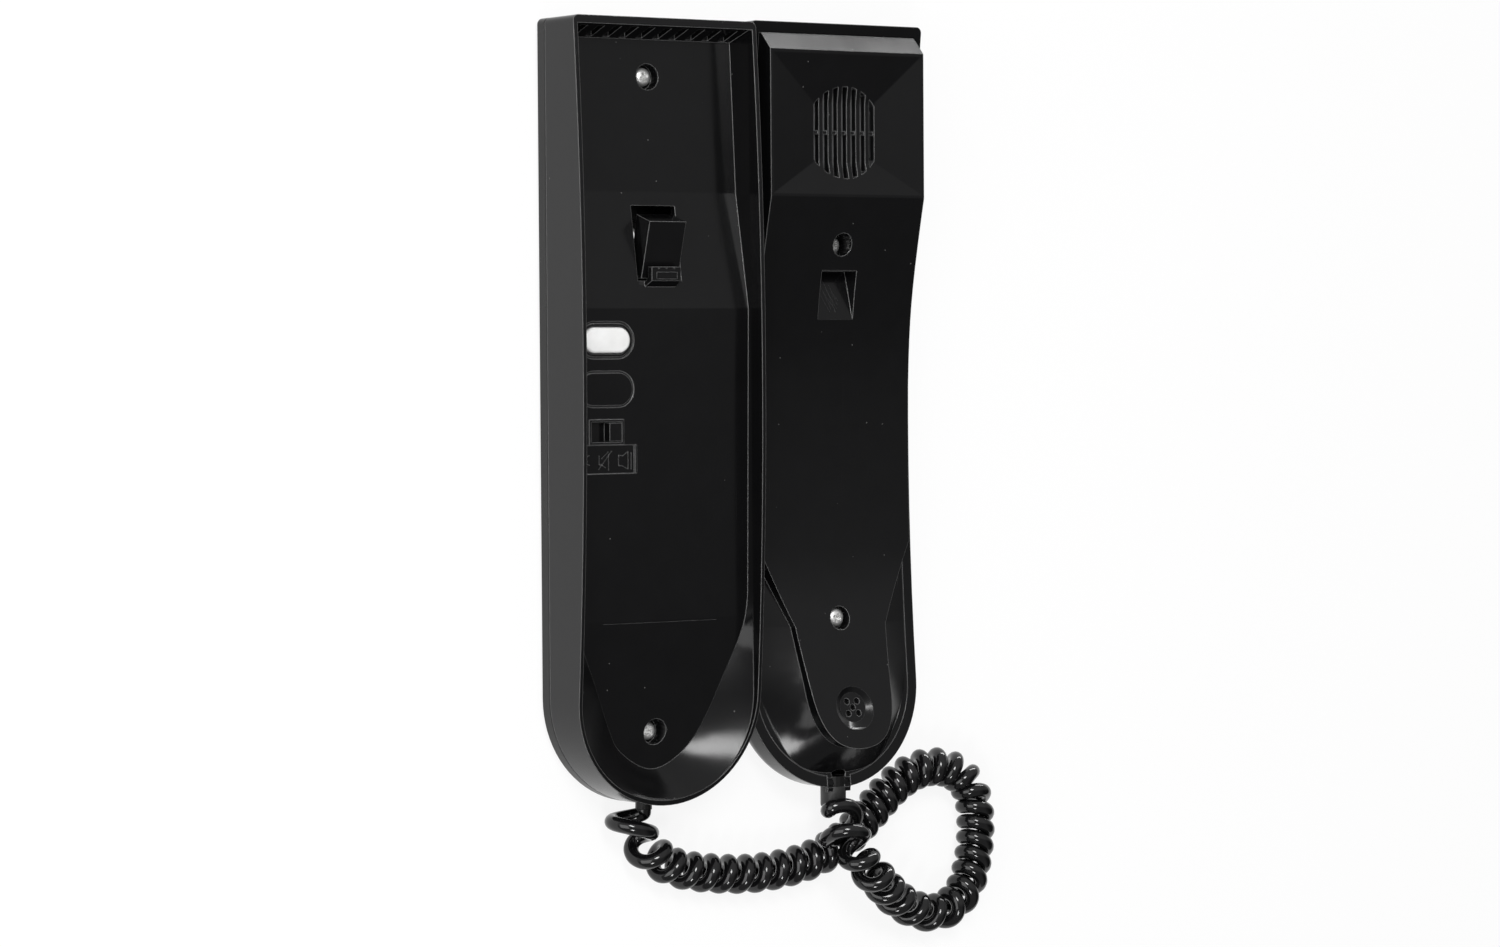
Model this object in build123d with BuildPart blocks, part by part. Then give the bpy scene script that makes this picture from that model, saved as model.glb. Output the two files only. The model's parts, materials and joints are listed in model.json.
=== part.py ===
"""Audio intercom handset: a wall unit with a cradle tray and its corded handset lying beside it.

+Z leaves the wall, +Y points at the ear end and +X at the handset.  The origin lies on the wall face
in the middle of the wall unit.  All lengths are in millimetres.
"""

import os
from math import atan2, cos, degrees, pi, sin, sqrt

from build123d import *

os.makedirs("parts", exist_ok=True)

# Driving dimensions of the wall unit
body_length = 220.0
body_width = 61.0
head_corner_r = 1.8
back_edge_r = 1.6
seam_width = 0.4
plate_depth = 5.6
plate_floor = 2.0
wall = 2.0
tray_thickness = 2.0
rim_crown_z = 24.1
rim_head_z = 20.2
rim_foot_z = 18.0
rim_width = 1.1
head_rim_width = 2.3

# Driving dimensions of the handset
handset_gap = 1.35
handset_width = 60.3
handset_corner_r = 1.8
lip_head_z = 15.7
lip_middle_z = 8.1
lip_foot_z = 14.4
lip_width = 3.2
head_lip_width = 3.4
back_round = 7.2
back_thickness = 2.0
shell_wall = 2.0
mouth_z = 25.8
skirt_depth = 1.5

# Clearances and the overrun of cuts
slide_gap = 0.25
bore_gap = 0.06
fit_gap = 0.05
turn_gap = 0.4
overrun = 3.0
sliver = 0.02

# Housing screws: pan heads with a cross drive
screw_head_r = 2.7
screw_head_h = 2.1
screw_shank_r = 1.3
screw_grip = 3.2
drive_width = 0.9
drive_length = 3.2
drive_depth = 1.1
head_round_share = 0.35
post_wall = 1.6
post_sides = 6
pin_sides = 8
round_sides = 16

half_length = body_length / 2
half_width = body_width / 2
rim_crown_y = 0.182 * half_length
handset_head_y = 1.008 * half_length
handset_foot_y = -0.991 * half_length
lip_middle_y = 0.018 * half_length
foot_centre_y = half_width - half_length
clear_z = mouth_z + overrun


def square_head_plan(middle_x, half_w, head_y, centre_y):
    """plan with a square head and a half-round foot"""
    Polyline((middle_x - half_w, centre_y), (middle_x - half_w, head_y),
             (middle_x + half_w, head_y), (middle_x + half_w, centre_y))
    ThreePointArc((middle_x + half_w, centre_y), (middle_x, centre_y - half_w),
                  (middle_x - half_w, centre_y))


def close_side(first, last, level):
    """close a side view line, drawn from its head end to its foot end, along a level"""
    Polyline(last, (last[0], level), (first[0], level), first)


# Tray floor in the side view, as shares of the half length and of the rim's crown
floor_shares = ((0.964, 0.411), (0.562, 0.510), (0.266, 0.726),
                (-0.527, 0.668), (-0.723, 0.573), (-0.945, 0.369))
floor_points = [(y * half_length, z * rim_crown_z) for y, z in floor_shares]


def tray_floor_line(drop):
    """tray floor lowered by drop; gives the line's two ends"""
    head, step, top, end, dip, foot = [(y, z - drop) for y, z in floor_points]
    first = (body_length, head[1])
    last = (-body_length, foot[1])
    Polyline(first, head, step, top, end)
    ThreePointArc(end, dip, foot)
    Line(foot, last)
    return first, last


def tray_z(y):
    """height of the tray floor at y, on its straight stretches"""
    for (y0, z0), (y1, z1) in zip(floor_points[:3], floor_points[1:4]):
        if y0 >= y >= y1:
            return z0 + (z1 - z0) * (y - y0) / (y1 - y0)
    return floor_points[0][1]


# Tray funnel: a narrow U at floor level that opens to the inside of the rim
funnel_low_share = 0.373
funnel_high_share = 0.768
funnel_low_z = funnel_low_share * rim_crown_z
funnel_high_z = funnel_high_share * rim_crown_z
tray_half_w = half_width - rim_width
tray_lean = 1.1
rim_lean = 0.3
head_lean = 3.4
tray_head_y = half_length - head_rim_width
throat_y = -0.455 * half_length
throat_middle = (0.545 * half_width, -0.602 * half_length)
waist = (0.314 * half_width, -0.712 * half_length)
waist_middle = (0.287 * half_width, -0.847 * half_length)
tip_y = -0.905 * half_length
waist_slope_share = 0.2
waist_kink_share = 0.16

with BuildPart() as tray_space:
    with BuildSketch(Plane.XY.offset(funnel_low_z)):
        with BuildLine():
            Line((tray_half_w - tray_lean, tray_head_y - head_lean), (tray_half_w - tray_lean, throat_y))
            Spline((tray_half_w - tray_lean, throat_y), throat_middle, waist,
                   tangents=((0, -1), (-waist_slope_share, -1)))
            mirror(about=Plane.YZ)
            Line((tray_lean - tray_half_w, tray_head_y - head_lean),
                 (tray_half_w - tray_lean, tray_head_y - head_lean))
            Spline(waist, waist_middle, (0, tip_y), (-waist_middle[0], waist_middle[1]), (-waist[0], waist[1]),
                   tangents=((-waist_kink_share, -1), (-waist_kink_share, 1)))
        make_face()
    with BuildSketch(Plane.XY.offset(funnel_high_z)) as funnel_top:
        with BuildLine():
            Line((tray_half_w - rim_lean, tray_head_y), (tray_half_w, throat_y))
            Line((tray_half_w, throat_y), (tray_half_w, foot_centre_y))
            mirror(about=Plane.YZ)
            Line((rim_lean - tray_half_w, tray_head_y), (tray_half_w - rim_lean, tray_head_y))
            ThreePointArc((tray_half_w, foot_centre_y), (0, foot_centre_y - tray_half_w),
                          (-tray_half_w, foot_centre_y))
        make_face()
    loft(ruled=True)
    extrude(funnel_top.sketch, amount=clear_z)
    with BuildSketch(Plane.YZ):
        with BuildLine():
            ends = tray_floor_line(0)
            close_side(*ends, clear_z)
        make_face()
    extrude(amount=body_width, both=True, mode=Mode.INTERSECT)

# Cover screws, one in the head of the tray and one in its foot
cover_screw_seat_z = 7.0
cover_screw_floor = 1.5
cover_screw_recess_r = 3.7
cover_screw_places = ((0, 0.856 * half_length), (0, -0.815 * half_length))
well_wall = 1.3

# Sound slits up the slanted head wall, with the hollow behind them
slit_count = 10
slit_pitch = 5.56
slit_width = 2.0
slit_foot_z = 10.6
slit_head_z = 17.6
slit_hollow_wall = 1.6
slit_hollow_z = 15.6

# Push button, and the blanked place of a second one below it
button_x = -0.61 * half_width
button_y = 0.1855 * half_length
button_length = 15.0
button_width = 7.1
button_rise = 1.35
button_travel = 1.5
button_round = 0.6
button_flange = 1.0
button_flange_h = 1.0
button_ring = 1.65
ring_width = 0.55
ring_depth = 0.45
blank_y = 0.0618 * half_length
blank_length = 18.4
blank_width = 10.1

# Slide for the call volume
window_x = -0.607 * half_width
window_y = -0.0464 * half_length
window_length = 10.0
window_width = 5.6
knob_length = 4.0
knob_rise = 0.5
knob_flange_length = 13.0
knob_flange_h = 1.0
knob_travel = 5.0
knob_stem = 1.8
panel_x = -0.567 * half_width
panel_y = -0.1155 * half_length
panel_length = 17.6
panel_width = 7.9
panel_depth = 0.3
frame_width = 0.7
frame_rise = 0.25

# Cradle lever, its opening and its pivot
hook_opening_half_w = 7.3
hook_opening_head_y = 0.527 * half_length
hook_opening_foot_y = 0.3355 * half_length
hook_flare = 2.6
hook_flare_y = 0.4545 * half_length
lever_half_w = 6.1
pivot_y = 0.327 * half_length
pivot_z = 12.0
pivot_r = 1.0
hub_r = 2.0
ear_width = 2.0
ear_r = 2.4
ear_gap = 0.3

# Bridge over the lever's foot
bridge_half_w = 4.85
bridge_foot_half_w = 5.3
bridge_head_y = 0.371 * half_length
bridge_face_y = 0.335 * half_length
bridge_foot_y = 0.312 * half_length
bridge_top_z = 19.7
bridge_under_z = 18.0

# Circuit board hung from posts under the tray
board_length = 0.436 * body_length
board_width = 0.77 * body_width
board_middle_y = -0.018 * half_length
board_top_z = 6.6
board_thickness = 1.6
board_post_r = 2.4
board_post_inset = 4.0
board_screw_head_r = 2.2
board_screw_head_h = 1.5
board_screw_shank_r = 0.9
board_screw_grip = 3.5

# Cord exits
base_exit_z = 6.0
base_collar_r = 2.4
base_collar_length = 2.0
collar_flange = 1.2
collar_flange_width = 1.0
handset_exit_z = 11.3
handset_collar_r = 3.5
handset_collar_length = 5.5

board_corners = [(x, board_middle_y + y)
                 for x in (board_post_inset - board_width / 2, board_width / 2 - board_post_inset)
                 for y in (board_post_inset - board_length / 2, board_length / 2 - board_post_inset)]

# Space between the tray and the wall plate
with BuildPart() as cover_space:
    with BuildSketch(Plane.XY):
        with BuildLine():
            square_head_plan(0, half_width - wall - slide_gap, half_length - wall, foot_centre_y)
        make_face()
    extrude(amount=clear_z)
    with BuildSketch(Plane.YZ):
        with BuildLine():
            ends = tray_floor_line(tray_thickness)
            close_side(*ends, -overrun)
        make_face()
    extrude(amount=body_width, both=True, mode=Mode.INTERSECT)

button_ceiling_z = tray_z(button_y) - tray_thickness
knob_ceiling_z = tray_z(window_y) - tray_thickness
well_foot_z = cover_screw_seat_z - cover_screw_floor
slope_plane = Plane(origin=(0, floor_points[1][0], floor_points[1][1]), x_dir=(1, 0, 0),
                    z_dir=(0, floor_points[2][1] - floor_points[1][1],
                           floor_points[1][0] - floor_points[2][0]))
hollow_y = half_length - slit_hollow_wall
hollow_foot_z = floor_points[0][1] - tray_thickness
slit_span = (slit_count - 1) * slit_pitch + slit_width
floor_head_y = tray_head_y - head_lean



def relief_line(flare, inset):
    """six-sided outline of the lever opening's relief on the sloped floor"""
    head, middle, foot = [y - floor_points[1][0] for y in
                          (hook_opening_head_y - inset, hook_flare_y, hook_opening_foot_y + inset)]
    half_w = hook_opening_half_w
    Polyline((0, head), (half_w, head), (half_w + flare, middle), (half_w, foot), (-half_w, foot),
             (-half_w - flare, middle), (-half_w, head), (0, head))


# Front cover
with BuildPart() as front_cover:
    with BuildSketch(Plane.XY.offset(plate_depth)) as cover_plan:
        with BuildLine():
            square_head_plan(0, half_width, half_length, foot_centre_y)
        make_face()
        fillet(cover_plan.vertices().group_by(Axis.Y)[-1], head_corner_r)
    extrude(amount=clear_z - plate_depth)
    with BuildSketch(Plane.YZ):
        with BuildLine():
            ThreePointArc((half_length, rim_head_z), (rim_crown_y, rim_crown_z),
                          (-half_length, rim_foot_z))
            Line((half_length, rim_head_z), (half_length + overrun, rim_head_z))
            Line((-half_length, rim_foot_z), (-half_length - overrun, rim_foot_z))
            close_side((half_length + overrun, rim_head_z), (-half_length - overrun, rim_foot_z),
                       clear_z + overrun)
        make_face()
    extrude(amount=body_width, both=True, mode=Mode.SUBTRACT)
    add(cover_space.part, mode=Mode.SUBTRACT)

    # wells for the cover screws and posts for the circuit board, up to the tray
    with BuildSketch(Plane.XY.offset(well_foot_z)):
        with Locations(*cover_screw_places):
            RegularPolygon(cover_screw_recess_r + well_wall, round_sides)
    extrude(amount=funnel_high_z - well_foot_z)
    with BuildSketch(Plane.XY.offset(board_top_z)):
        with Locations(*board_corners):
            RegularPolygon(board_post_r, post_sides)
    extrude(amount=funnel_high_z - board_top_z)
    add(tray_space.part, mode=Mode.SUBTRACT)
    with BuildSketch(Plane.XY.offset(cover_screw_seat_z)):
        with Locations(*cover_screw_places):
            RegularPolygon(cover_screw_recess_r, round_sides)
    extrude(amount=clear_z, mode=Mode.SUBTRACT)
    with BuildSketch(Plane.XY):
        with Locations(*cover_screw_places):
            RegularPolygon(screw_shank_r + fit_gap, pin_sides)
    extrude(amount=clear_z, mode=Mode.SUBTRACT)

    # hollow behind the head wall, and the slits into it
    with BuildSketch(Plane.YZ):
        with BuildLine():
            Polyline((floor_head_y + slit_hollow_wall, hollow_foot_z), (hollow_y, hollow_foot_z),
                     (hollow_y, slit_hollow_z), close=True)
        make_face()
    extrude(amount=slit_span / 2 + slit_width, both=True, mode=Mode.SUBTRACT)
    with BuildSketch(Plane.XZ.offset(-hollow_y)):
        with GridLocations(slit_pitch, 0, slit_count, 1):
            with Locations((0, (slit_foot_z + slit_head_z) / 2)):
                Rectangle(slit_width, slit_head_z - slit_foot_z)
    extrude(amount=hollow_y - floor_head_y + overrun, mode=Mode.SUBTRACT)

    # push button hole, the groove round it and the blanked place
    with BuildSketch(Plane.XY):
        with Locations((button_x, button_y)):
            SlotOverall(button_length + 2 * slide_gap, button_width + 2 * slide_gap)
    extrude(amount=clear_z, mode=Mode.SUBTRACT)
    with BuildSketch(Plane.XY.offset(tray_z(button_y) - ring_depth)):
        with Locations((button_x, button_y)):
            SlotOverall(button_length + 2 * button_ring, button_width + 2 * button_ring)
            SlotOverall(button_length + 2 * button_ring - 2 * ring_width,
                        button_width + 2 * button_ring - 2 * ring_width, mode=Mode.SUBTRACT)
        with Locations((button_x, blank_y)):
            SlotOverall(blank_length, blank_width)
            SlotOverall(blank_length - 2 * ring_width, blank_width - 2 * ring_width,
                        mode=Mode.SUBTRACT)
    extrude(amount=clear_z, mode=Mode.SUBTRACT)

    # volume window and the sunk panel of its signs
    with BuildSketch(Plane.XY):
        with Locations((window_x, window_y)):
            Rectangle(window_length, window_width)
    extrude(amount=clear_z, mode=Mode.SUBTRACT)
    with BuildSketch(Plane.XY.offset(tray_z(panel_y) - panel_depth)):
        with Locations((panel_x, panel_y)):
            Rectangle(panel_length, panel_width)
    extrude(amount=clear_z, mode=Mode.SUBTRACT)
    with BuildSketch(Plane.XY.offset(tray_z(panel_y) - panel_depth)):
        with Locations((panel_x + (panel_length - frame_width) / 2, panel_y)):
            Rectangle(frame_width, panel_width)
    extrude(amount=panel_depth + frame_rise)
    with BuildSketch(Plane.XY.offset(tray_z(window_y) - wall)):
        with Locations((window_x, window_y)):
            Rectangle(window_length + 2 * frame_width, window_width + 2 * frame_width)
            Rectangle(window_length, window_width, mode=Mode.SUBTRACT)
    extrude(amount=wall + frame_rise)

    # cradle lever opening, with a slanted relief on both sides
    with BuildSketch(Plane.XY):
        with Locations((0, (hook_opening_head_y + hook_opening_foot_y) / 2)):
            Rectangle(2 * hook_opening_half_w, hook_opening_head_y - hook_opening_foot_y)
    extrude(amount=clear_z, mode=Mode.SUBTRACT)
    with BuildSketch(slope_plane.offset(sliver)):
        with BuildLine():
            relief_line(hook_flare, 0)
        make_face()
    with BuildSketch(slope_plane.offset(-tray_thickness)):
        with BuildLine():
            relief_line(-ear_gap, ear_gap)
        make_face()
    loft(ruled=True, mode=Mode.SUBTRACT)

    # bridge over the lever's foot
    with BuildSketch(Plane.XY.offset(tray_z(bridge_head_y) - wall / 2)):
        with Locations((0, (bridge_head_y + bridge_foot_y) / 2)):
            Rectangle(2 * bridge_foot_half_w, bridge_head_y - bridge_foot_y)
    with BuildSketch(Plane.XY.offset(bridge_top_z)):
        with Locations((0, (bridge_head_y + bridge_face_y) / 2)):
            Rectangle(2 * bridge_half_w, bridge_head_y - bridge_face_y)
    loft(ruled=True)
    with BuildSketch(Plane.YZ):
        with BuildLine():
            Polyline((hook_opening_foot_y, 0), (hook_opening_foot_y, tray_z(hook_opening_foot_y) - wall),
                     (hook_opening_foot_y, bridge_under_z - wall / 2),
                     (bridge_face_y + wall / 2, bridge_under_z), (bridge_head_y + overrun, bridge_under_z),
                     (bridge_head_y + overrun, 0), close=True)
        make_face()
    extrude(amount=hook_opening_half_w, both=True, mode=Mode.SUBTRACT)

    # ears of the lever's pin
    with BuildSketch(Plane.YZ.offset(lever_half_w + ear_gap)):
        with BuildLine():
            Polyline((pivot_y - ear_r, pivot_z), (pivot_y - ear_r, tray_z(pivot_y + ear_r) - wall / 2),
                     (pivot_y + ear_r, tray_z(pivot_y + ear_r) - wall / 2), (pivot_y + ear_r, pivot_z))
            ThreePointArc((pivot_y + ear_r, pivot_z), (pivot_y, pivot_z - ear_r),
                          (pivot_y - ear_r, pivot_z))
        make_face()
        with Locations((pivot_y, pivot_z)):
            Circle(pivot_r + fit_gap, mode=Mode.SUBTRACT)
    ear = extrude(amount=ear_width + hook_opening_half_w - lever_half_w)
    mirror(ear, about=Plane.YZ)

    # screw holes of the circuit board's posts
    with BuildSketch(Plane.XY.offset(board_top_z)):
        with Locations(*board_corners):
            RegularPolygon(board_screw_shank_r + fit_gap, pin_sides)
    extrude(amount=board_screw_grip + fit_gap, mode=Mode.SUBTRACT)

    # cord hole in the foot
    with BuildSketch(Plane.XZ.offset(half_length + overrun)):
        with Locations((0, base_exit_z)):
            RegularPolygon(base_collar_r + fit_gap, round_sides)
    extrude(amount=-overrun - wall - collar_flange_width - overrun, mode=Mode.SUBTRACT)
    with BuildSketch(Plane.XZ.offset(half_length - wall)):
        with Locations((0, base_exit_z)):
            RegularPolygon(base_collar_r + collar_flange + fit_gap, round_sides)
    extrude(amount=-collar_flange_width - overrun, mode=Mode.SUBTRACT)

# Wall plate
wall_hole_r = 2.25
wall_hole_spacing = 60.0
wall_holes_y = 0.1818 * half_length
wall_head_r = 4.2
wall_head_depth = 0.8
cable_hole_r = 7.0

with BuildPart() as wall_plate:
    with BuildSketch(Plane.XY) as plate_plan:
        with BuildLine():
            square_head_plan(0, half_width, half_length, foot_centre_y)
        make_face()
        fillet(plate_plan.vertices().group_by(Axis.Y)[-1], head_corner_r)
    extrude(amount=plate_depth)
    chamfer(wall_plate.faces().sort_by(Axis.Z)[0].outer_wire().edges(), back_edge_r)
    chamfer(wall_plate.faces().sort_by(Axis.Z)[-1].outer_wire().edges(), seam_width)
    with BuildSketch(Plane.XY.offset(plate_floor)):
        with BuildLine():
            square_head_plan(0, half_width - wall - slide_gap, half_length - wall, foot_centre_y)
        make_face()
    extrude(amount=plate_depth, mode=Mode.SUBTRACT)
    with BuildSketch(Plane.XY.offset(plate_floor)):
        with Locations(*cover_screw_places):
            RegularPolygon(screw_shank_r + post_wall, post_sides)
    extrude(amount=well_foot_z - plate_floor)
    with BuildSketch(Plane.XY.offset(cover_screw_seat_z - cover_screw_floor - screw_grip - fit_gap)):
        with Locations(*cover_screw_places):
            RegularPolygon(screw_shank_r + fit_gap, pin_sides)
    extrude(amount=clear_z, mode=Mode.SUBTRACT)
    with BuildSketch(Plane.XY):
        with Locations((0, wall_holes_y)):
            with GridLocations(0, wall_hole_spacing, 1, 2):
                Circle(wall_hole_r)
            Circle(cable_hole_r)
    extrude(amount=plate_floor, mode=Mode.SUBTRACT)
    with BuildSketch(Plane.XY.offset(plate_floor - wall_head_depth)):
        with Locations((0, wall_holes_y)):
            with GridLocations(0, wall_hole_spacing, 1, 2):
                Circle(wall_head_r)
    extrude(amount=wall_head_depth, mode=Mode.SUBTRACT)
    with BuildSketch(Plane.XZ.offset(half_length + overrun)):
        with Locations((0, base_exit_z)):
            RegularPolygon(base_collar_r + fit_gap, round_sides)
    extrude(amount=-overrun - wall - collar_flange_width - overrun, mode=Mode.SUBTRACT)
    with BuildSketch(Plane.XZ.offset(half_length - wall)):
        with Locations((0, base_exit_z)):
            RegularPolygon(base_collar_r + collar_flange + fit_gap, round_sides)
    extrude(amount=-collar_flange_width - overrun, mode=Mode.SUBTRACT)

with BuildPart() as cover_screws:
    with BuildSketch(Plane.XY.offset(cover_screw_seat_z)):
        with Locations(*cover_screw_places):
            RegularPolygon(screw_head_r, round_sides)
    extrude(amount=screw_head_h)
    chamfer(cover_screws.edges().group_by(Axis.Z)[-1], screw_head_h * head_round_share)
    with BuildSketch(Plane.XY.offset(cover_screw_seat_z)):
        with Locations(*cover_screw_places):
            RegularPolygon(screw_shank_r, pin_sides)
    extrude(amount=-cover_screw_floor - screw_grip)
    with BuildSketch(Plane.XY.offset(cover_screw_seat_z + screw_head_h - drive_depth)):
        with Locations(*cover_screw_places):
            Rectangle(drive_length, drive_width)
            Rectangle(drive_width, drive_length)
    extrude(amount=drive_depth, mode=Mode.SUBTRACT)

# Circuit board with its screws
with BuildPart() as circuit_board:
    with BuildSketch(Plane.XY.offset(board_top_z - board_thickness)):
        with Locations((0, board_middle_y)):
            Rectangle(board_width, board_length)
        with Locations(*board_corners):
            RegularPolygon(board_screw_shank_r + fit_gap, pin_sides, mode=Mode.SUBTRACT)
    extrude(amount=board_thickness)

with BuildPart() as board_screws:
    with BuildSketch(Plane.XY.offset(board_top_z - board_thickness)):
        with Locations(*board_corners):
            RegularPolygon(board_screw_head_r, pin_sides)
    extrude(amount=-board_screw_head_h)
    with BuildSketch(Plane.XY.offset(board_top_z - board_thickness)):
        with Locations(*board_corners):
            RegularPolygon(board_screw_shank_r, pin_sides)
    extrude(amount=board_thickness + board_screw_grip)

# Push button, its switch and the switch's plunger
switch_size = 6.0
switch_height = 3.5
plunger_r = 1.5
plunger_length = 4.2
plunger_top_z = board_top_z + switch_height + 2.8
button_top_z = tray_z(button_y) + button_rise
button_flange_top_z = button_ceiling_z - slide_gap

with BuildPart() as door_button:
    with BuildSketch(Plane.XY.offset(button_flange_top_z - button_flange_h)):
        with Locations((button_x, button_y)):
            SlotOverall(button_length + 2 * button_flange, button_width + 2 * button_flange)
    extrude(amount=button_flange_h)
    with BuildSketch(Plane.XY.offset(button_flange_top_z)):
        with Locations((button_x, button_y)):
            SlotOverall(button_length, button_width)
    extrude(amount=button_top_z - button_flange_top_z)
    chamfer(door_button.edges().group_by(Axis.Z)[-1], button_round)
    with BuildSketch(Plane.XY.offset(plunger_top_z)):
        with Locations((button_x, button_y)):
            RegularPolygon(plunger_r, pin_sides)
    extrude(amount=button_flange_top_z - button_flange_h - plunger_top_z)

with BuildPart() as door_switch:
    with BuildSketch(Plane.XY.offset(board_top_z)):
        with Locations((button_x, button_y)):
            Rectangle(switch_size, switch_size)
    extrude(amount=switch_height)
    with BuildSketch(Plane.XY.offset(plunger_top_z - plunger_length - button_travel - slide_gap)):
        with Locations((button_x, button_y)):
            RegularPolygon(plunger_r + bore_gap, pin_sides)
    extrude(amount=clear_z, mode=Mode.SUBTRACT)

with BuildPart() as door_switch_plunger:
    with BuildSketch(Plane.XY.offset(plunger_top_z)):
        with Locations((button_x, button_y)):
            RegularPolygon(plunger_r, pin_sides)
    extrude(amount=-plunger_length)

# Volume slide and its switch
knob_x = window_x + (window_length - knob_length) / 2 - slide_gap
knob_flange_top_z = knob_ceiling_z - slide_gap
slide_switch_length = 12.0
slide_switch_width = 6.0
slide_switch_height = 4.4
slide_slot_depth = 1.2

with BuildPart() as volume_knob:
    with BuildSketch(Plane.XY.offset(knob_flange_top_z - knob_flange_h)):
        with Locations((knob_x, window_y)):
            Rectangle(knob_flange_length, window_width + 2 * button_flange)
    extrude(amount=knob_flange_h)
    with BuildSketch(Plane.XY.offset(knob_flange_top_z)):
        with Locations((knob_x, window_y)):
            Rectangle(knob_length, window_width - 2 * slide_gap)
    extrude(amount=tray_z(window_y) + knob_rise - knob_flange_top_z)
    with BuildSketch(Plane.XY.offset(knob_flange_top_z - knob_flange_h)):
        with Locations((knob_x, window_y)):
            Rectangle(knob_stem, knob_stem)
    extrude(amount=board_top_z + slide_switch_height - slide_slot_depth + slide_gap
            - knob_flange_top_z + knob_flange_h)

with BuildPart() as volume_switch:
    with BuildSketch(Plane.XY.offset(board_top_z)):
        with Locations((knob_x - knob_travel / 2, window_y)):
            Rectangle(slide_switch_length, slide_switch_width)
    extrude(amount=slide_switch_height)
    with BuildSketch(Plane.XY.offset(board_top_z + slide_switch_height)):
        with Locations((knob_x - knob_travel / 2, window_y)):
            Rectangle(knob_travel + knob_stem + 2 * slide_gap, knob_stem + 2 * slide_gap)
    extrude(amount=-slide_slot_depth, mode=Mode.SUBTRACT)

# Cradle lever in the side view: shares of its reach past the pivot and of the rim's crown
lever_reach = 0.178 * half_length
lever_tail = 0.1 * half_length
lever_skin = 1.4
lever_tail_z = 11.1
lever_tail_h = 1.6
lever_tail_half_w = 4.3
lever_belly_z = 11.6
lever_spring_half_w = 1.7
lever_root_share, lever_front_share, lever_pocket_share = 0.085, 0.89, 0.42
lever_root_z = 0.672 * rim_crown_z
lever_crown_z = 0.859 * rim_crown_z


def lever_y(share):
    return pivot_y + share * lever_reach


with BuildPart() as hook_lever:
    with BuildSketch(Plane.YZ) as lever_side:
        with BuildLine():
            Polyline((pivot_y, pivot_z + hub_r), (lever_y(lever_root_share), pivot_z + hub_r),
                     (lever_y(lever_root_share), lever_root_z),
                     (lever_y(lever_front_share), lever_crown_z), (lever_y(1), pivot_z + wall),
                     (lever_y(lever_pocket_share), lever_belly_z), (pivot_y, lever_belly_z - wall / 2),
                     close=True)
        make_face()
        with Locations((pivot_y, pivot_z)):
            Circle(hub_r)
    extrude(amount=lever_half_w, both=True)
    with BuildSketch(Plane.YZ):
        with BuildLine():
            Polyline((pivot_y - lever_tail, lever_tail_z), (pivot_y, lever_tail_z),
                     (pivot_y, pivot_z + hub_r), (pivot_y - hub_r, lever_tail_z + lever_tail_h),
                     (pivot_y - lever_tail, lever_tail_z + lever_tail_h), close=True)
        make_face()
    extrude(amount=lever_tail_half_w, both=True)
    with BuildSketch(Plane.YZ):
        with BuildLine():
            Polyline((lever_y(lever_pocket_share), lever_belly_z - wall),
                     (lever_y(lever_pocket_share), lever_root_z - slide_gap),
                     (lever_y(lever_front_share) - lever_skin, lever_crown_z - lever_skin - slide_gap),
                     (lever_y(1) - lever_skin, pivot_z - wall), close=True)
        make_face()
    extrude(amount=lever_half_w - lever_skin, both=True, mode=Mode.SUBTRACT)
    with BuildSketch(Plane.YZ):
        with Locations((pivot_y, pivot_z)):
            Circle(pivot_r + bore_gap)
    extrude(amount=body_width, both=True, mode=Mode.SUBTRACT)
    with BuildSketch(Plane.YZ):
        with Locations((pivot_y, pivot_z)):
            Circle(hub_r + turn_gap)
    extrude(amount=lever_spring_half_w, both=True, mode=Mode.SUBTRACT)

with BuildPart() as hook_pin:
    with BuildSketch(Plane.YZ):
        with Locations((pivot_y, pivot_z)):
            Circle(pivot_r)
    extrude(amount=lever_half_w + ear_gap + ear_width + hook_opening_half_w - lever_half_w, both=True)

# Torsion spring in the middle of the lever's hub: a coil sleeve and its leg to the board side
spring_wire = 0.5
spring_inner_r = (pivot_r + bore_gap) * 1.09
spring_leg = 4.2

with BuildPart() as hook_spring:
    with BuildSketch(Plane.YZ):
        with Locations((pivot_y, pivot_z)):
            RegularPolygon(spring_inner_r + spring_wire, pin_sides)
            RegularPolygon(spring_inner_r, pin_sides, mode=Mode.SUBTRACT)
    extrude(amount=lever_spring_half_w - slide_gap, both=True)
    with BuildSketch(Plane.XY.offset(pivot_z)):
        with Locations((0, pivot_y + spring_inner_r + spring_wire / 2)):
            Rectangle(spring_wire, spring_wire)
    extrude(amount=-spring_leg)

# Cradle switch under the lever's tail
hook_switch_length = 12.8
hook_switch_width = 5.8
hook_switch_height = 4.2
hook_switch_nub_r = 1.0
hook_switch_y = pivot_y - lever_tail + hook_switch_width / 2

with BuildPart() as hook_switch:
    with BuildSketch(Plane.XY.offset(board_top_z)):
        with Locations((0, hook_switch_y)):
            Rectangle(hook_switch_length, hook_switch_width)
    extrude(amount=hook_switch_height)
    with BuildSketch(Plane.XY.offset(board_top_z + hook_switch_height)):
        with Locations((0, hook_switch_y)):
            RegularPolygon(hook_switch_nub_r, pin_sides)
    extrude(amount=lever_tail_z - fit_gap - board_top_z - hook_switch_height)

# Line terminals
terminal_length = 30.0
terminal_width = 12.0
terminal_height = 8.0
terminal_y = -0.655 * half_length
terminal_count = 4
terminal_pitch = 7.0
terminal_screw_r = 1.9
terminal_screw_h = 3.0
terminal_mouth = 2.6
terminal_mouth_z = 4.6

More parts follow.
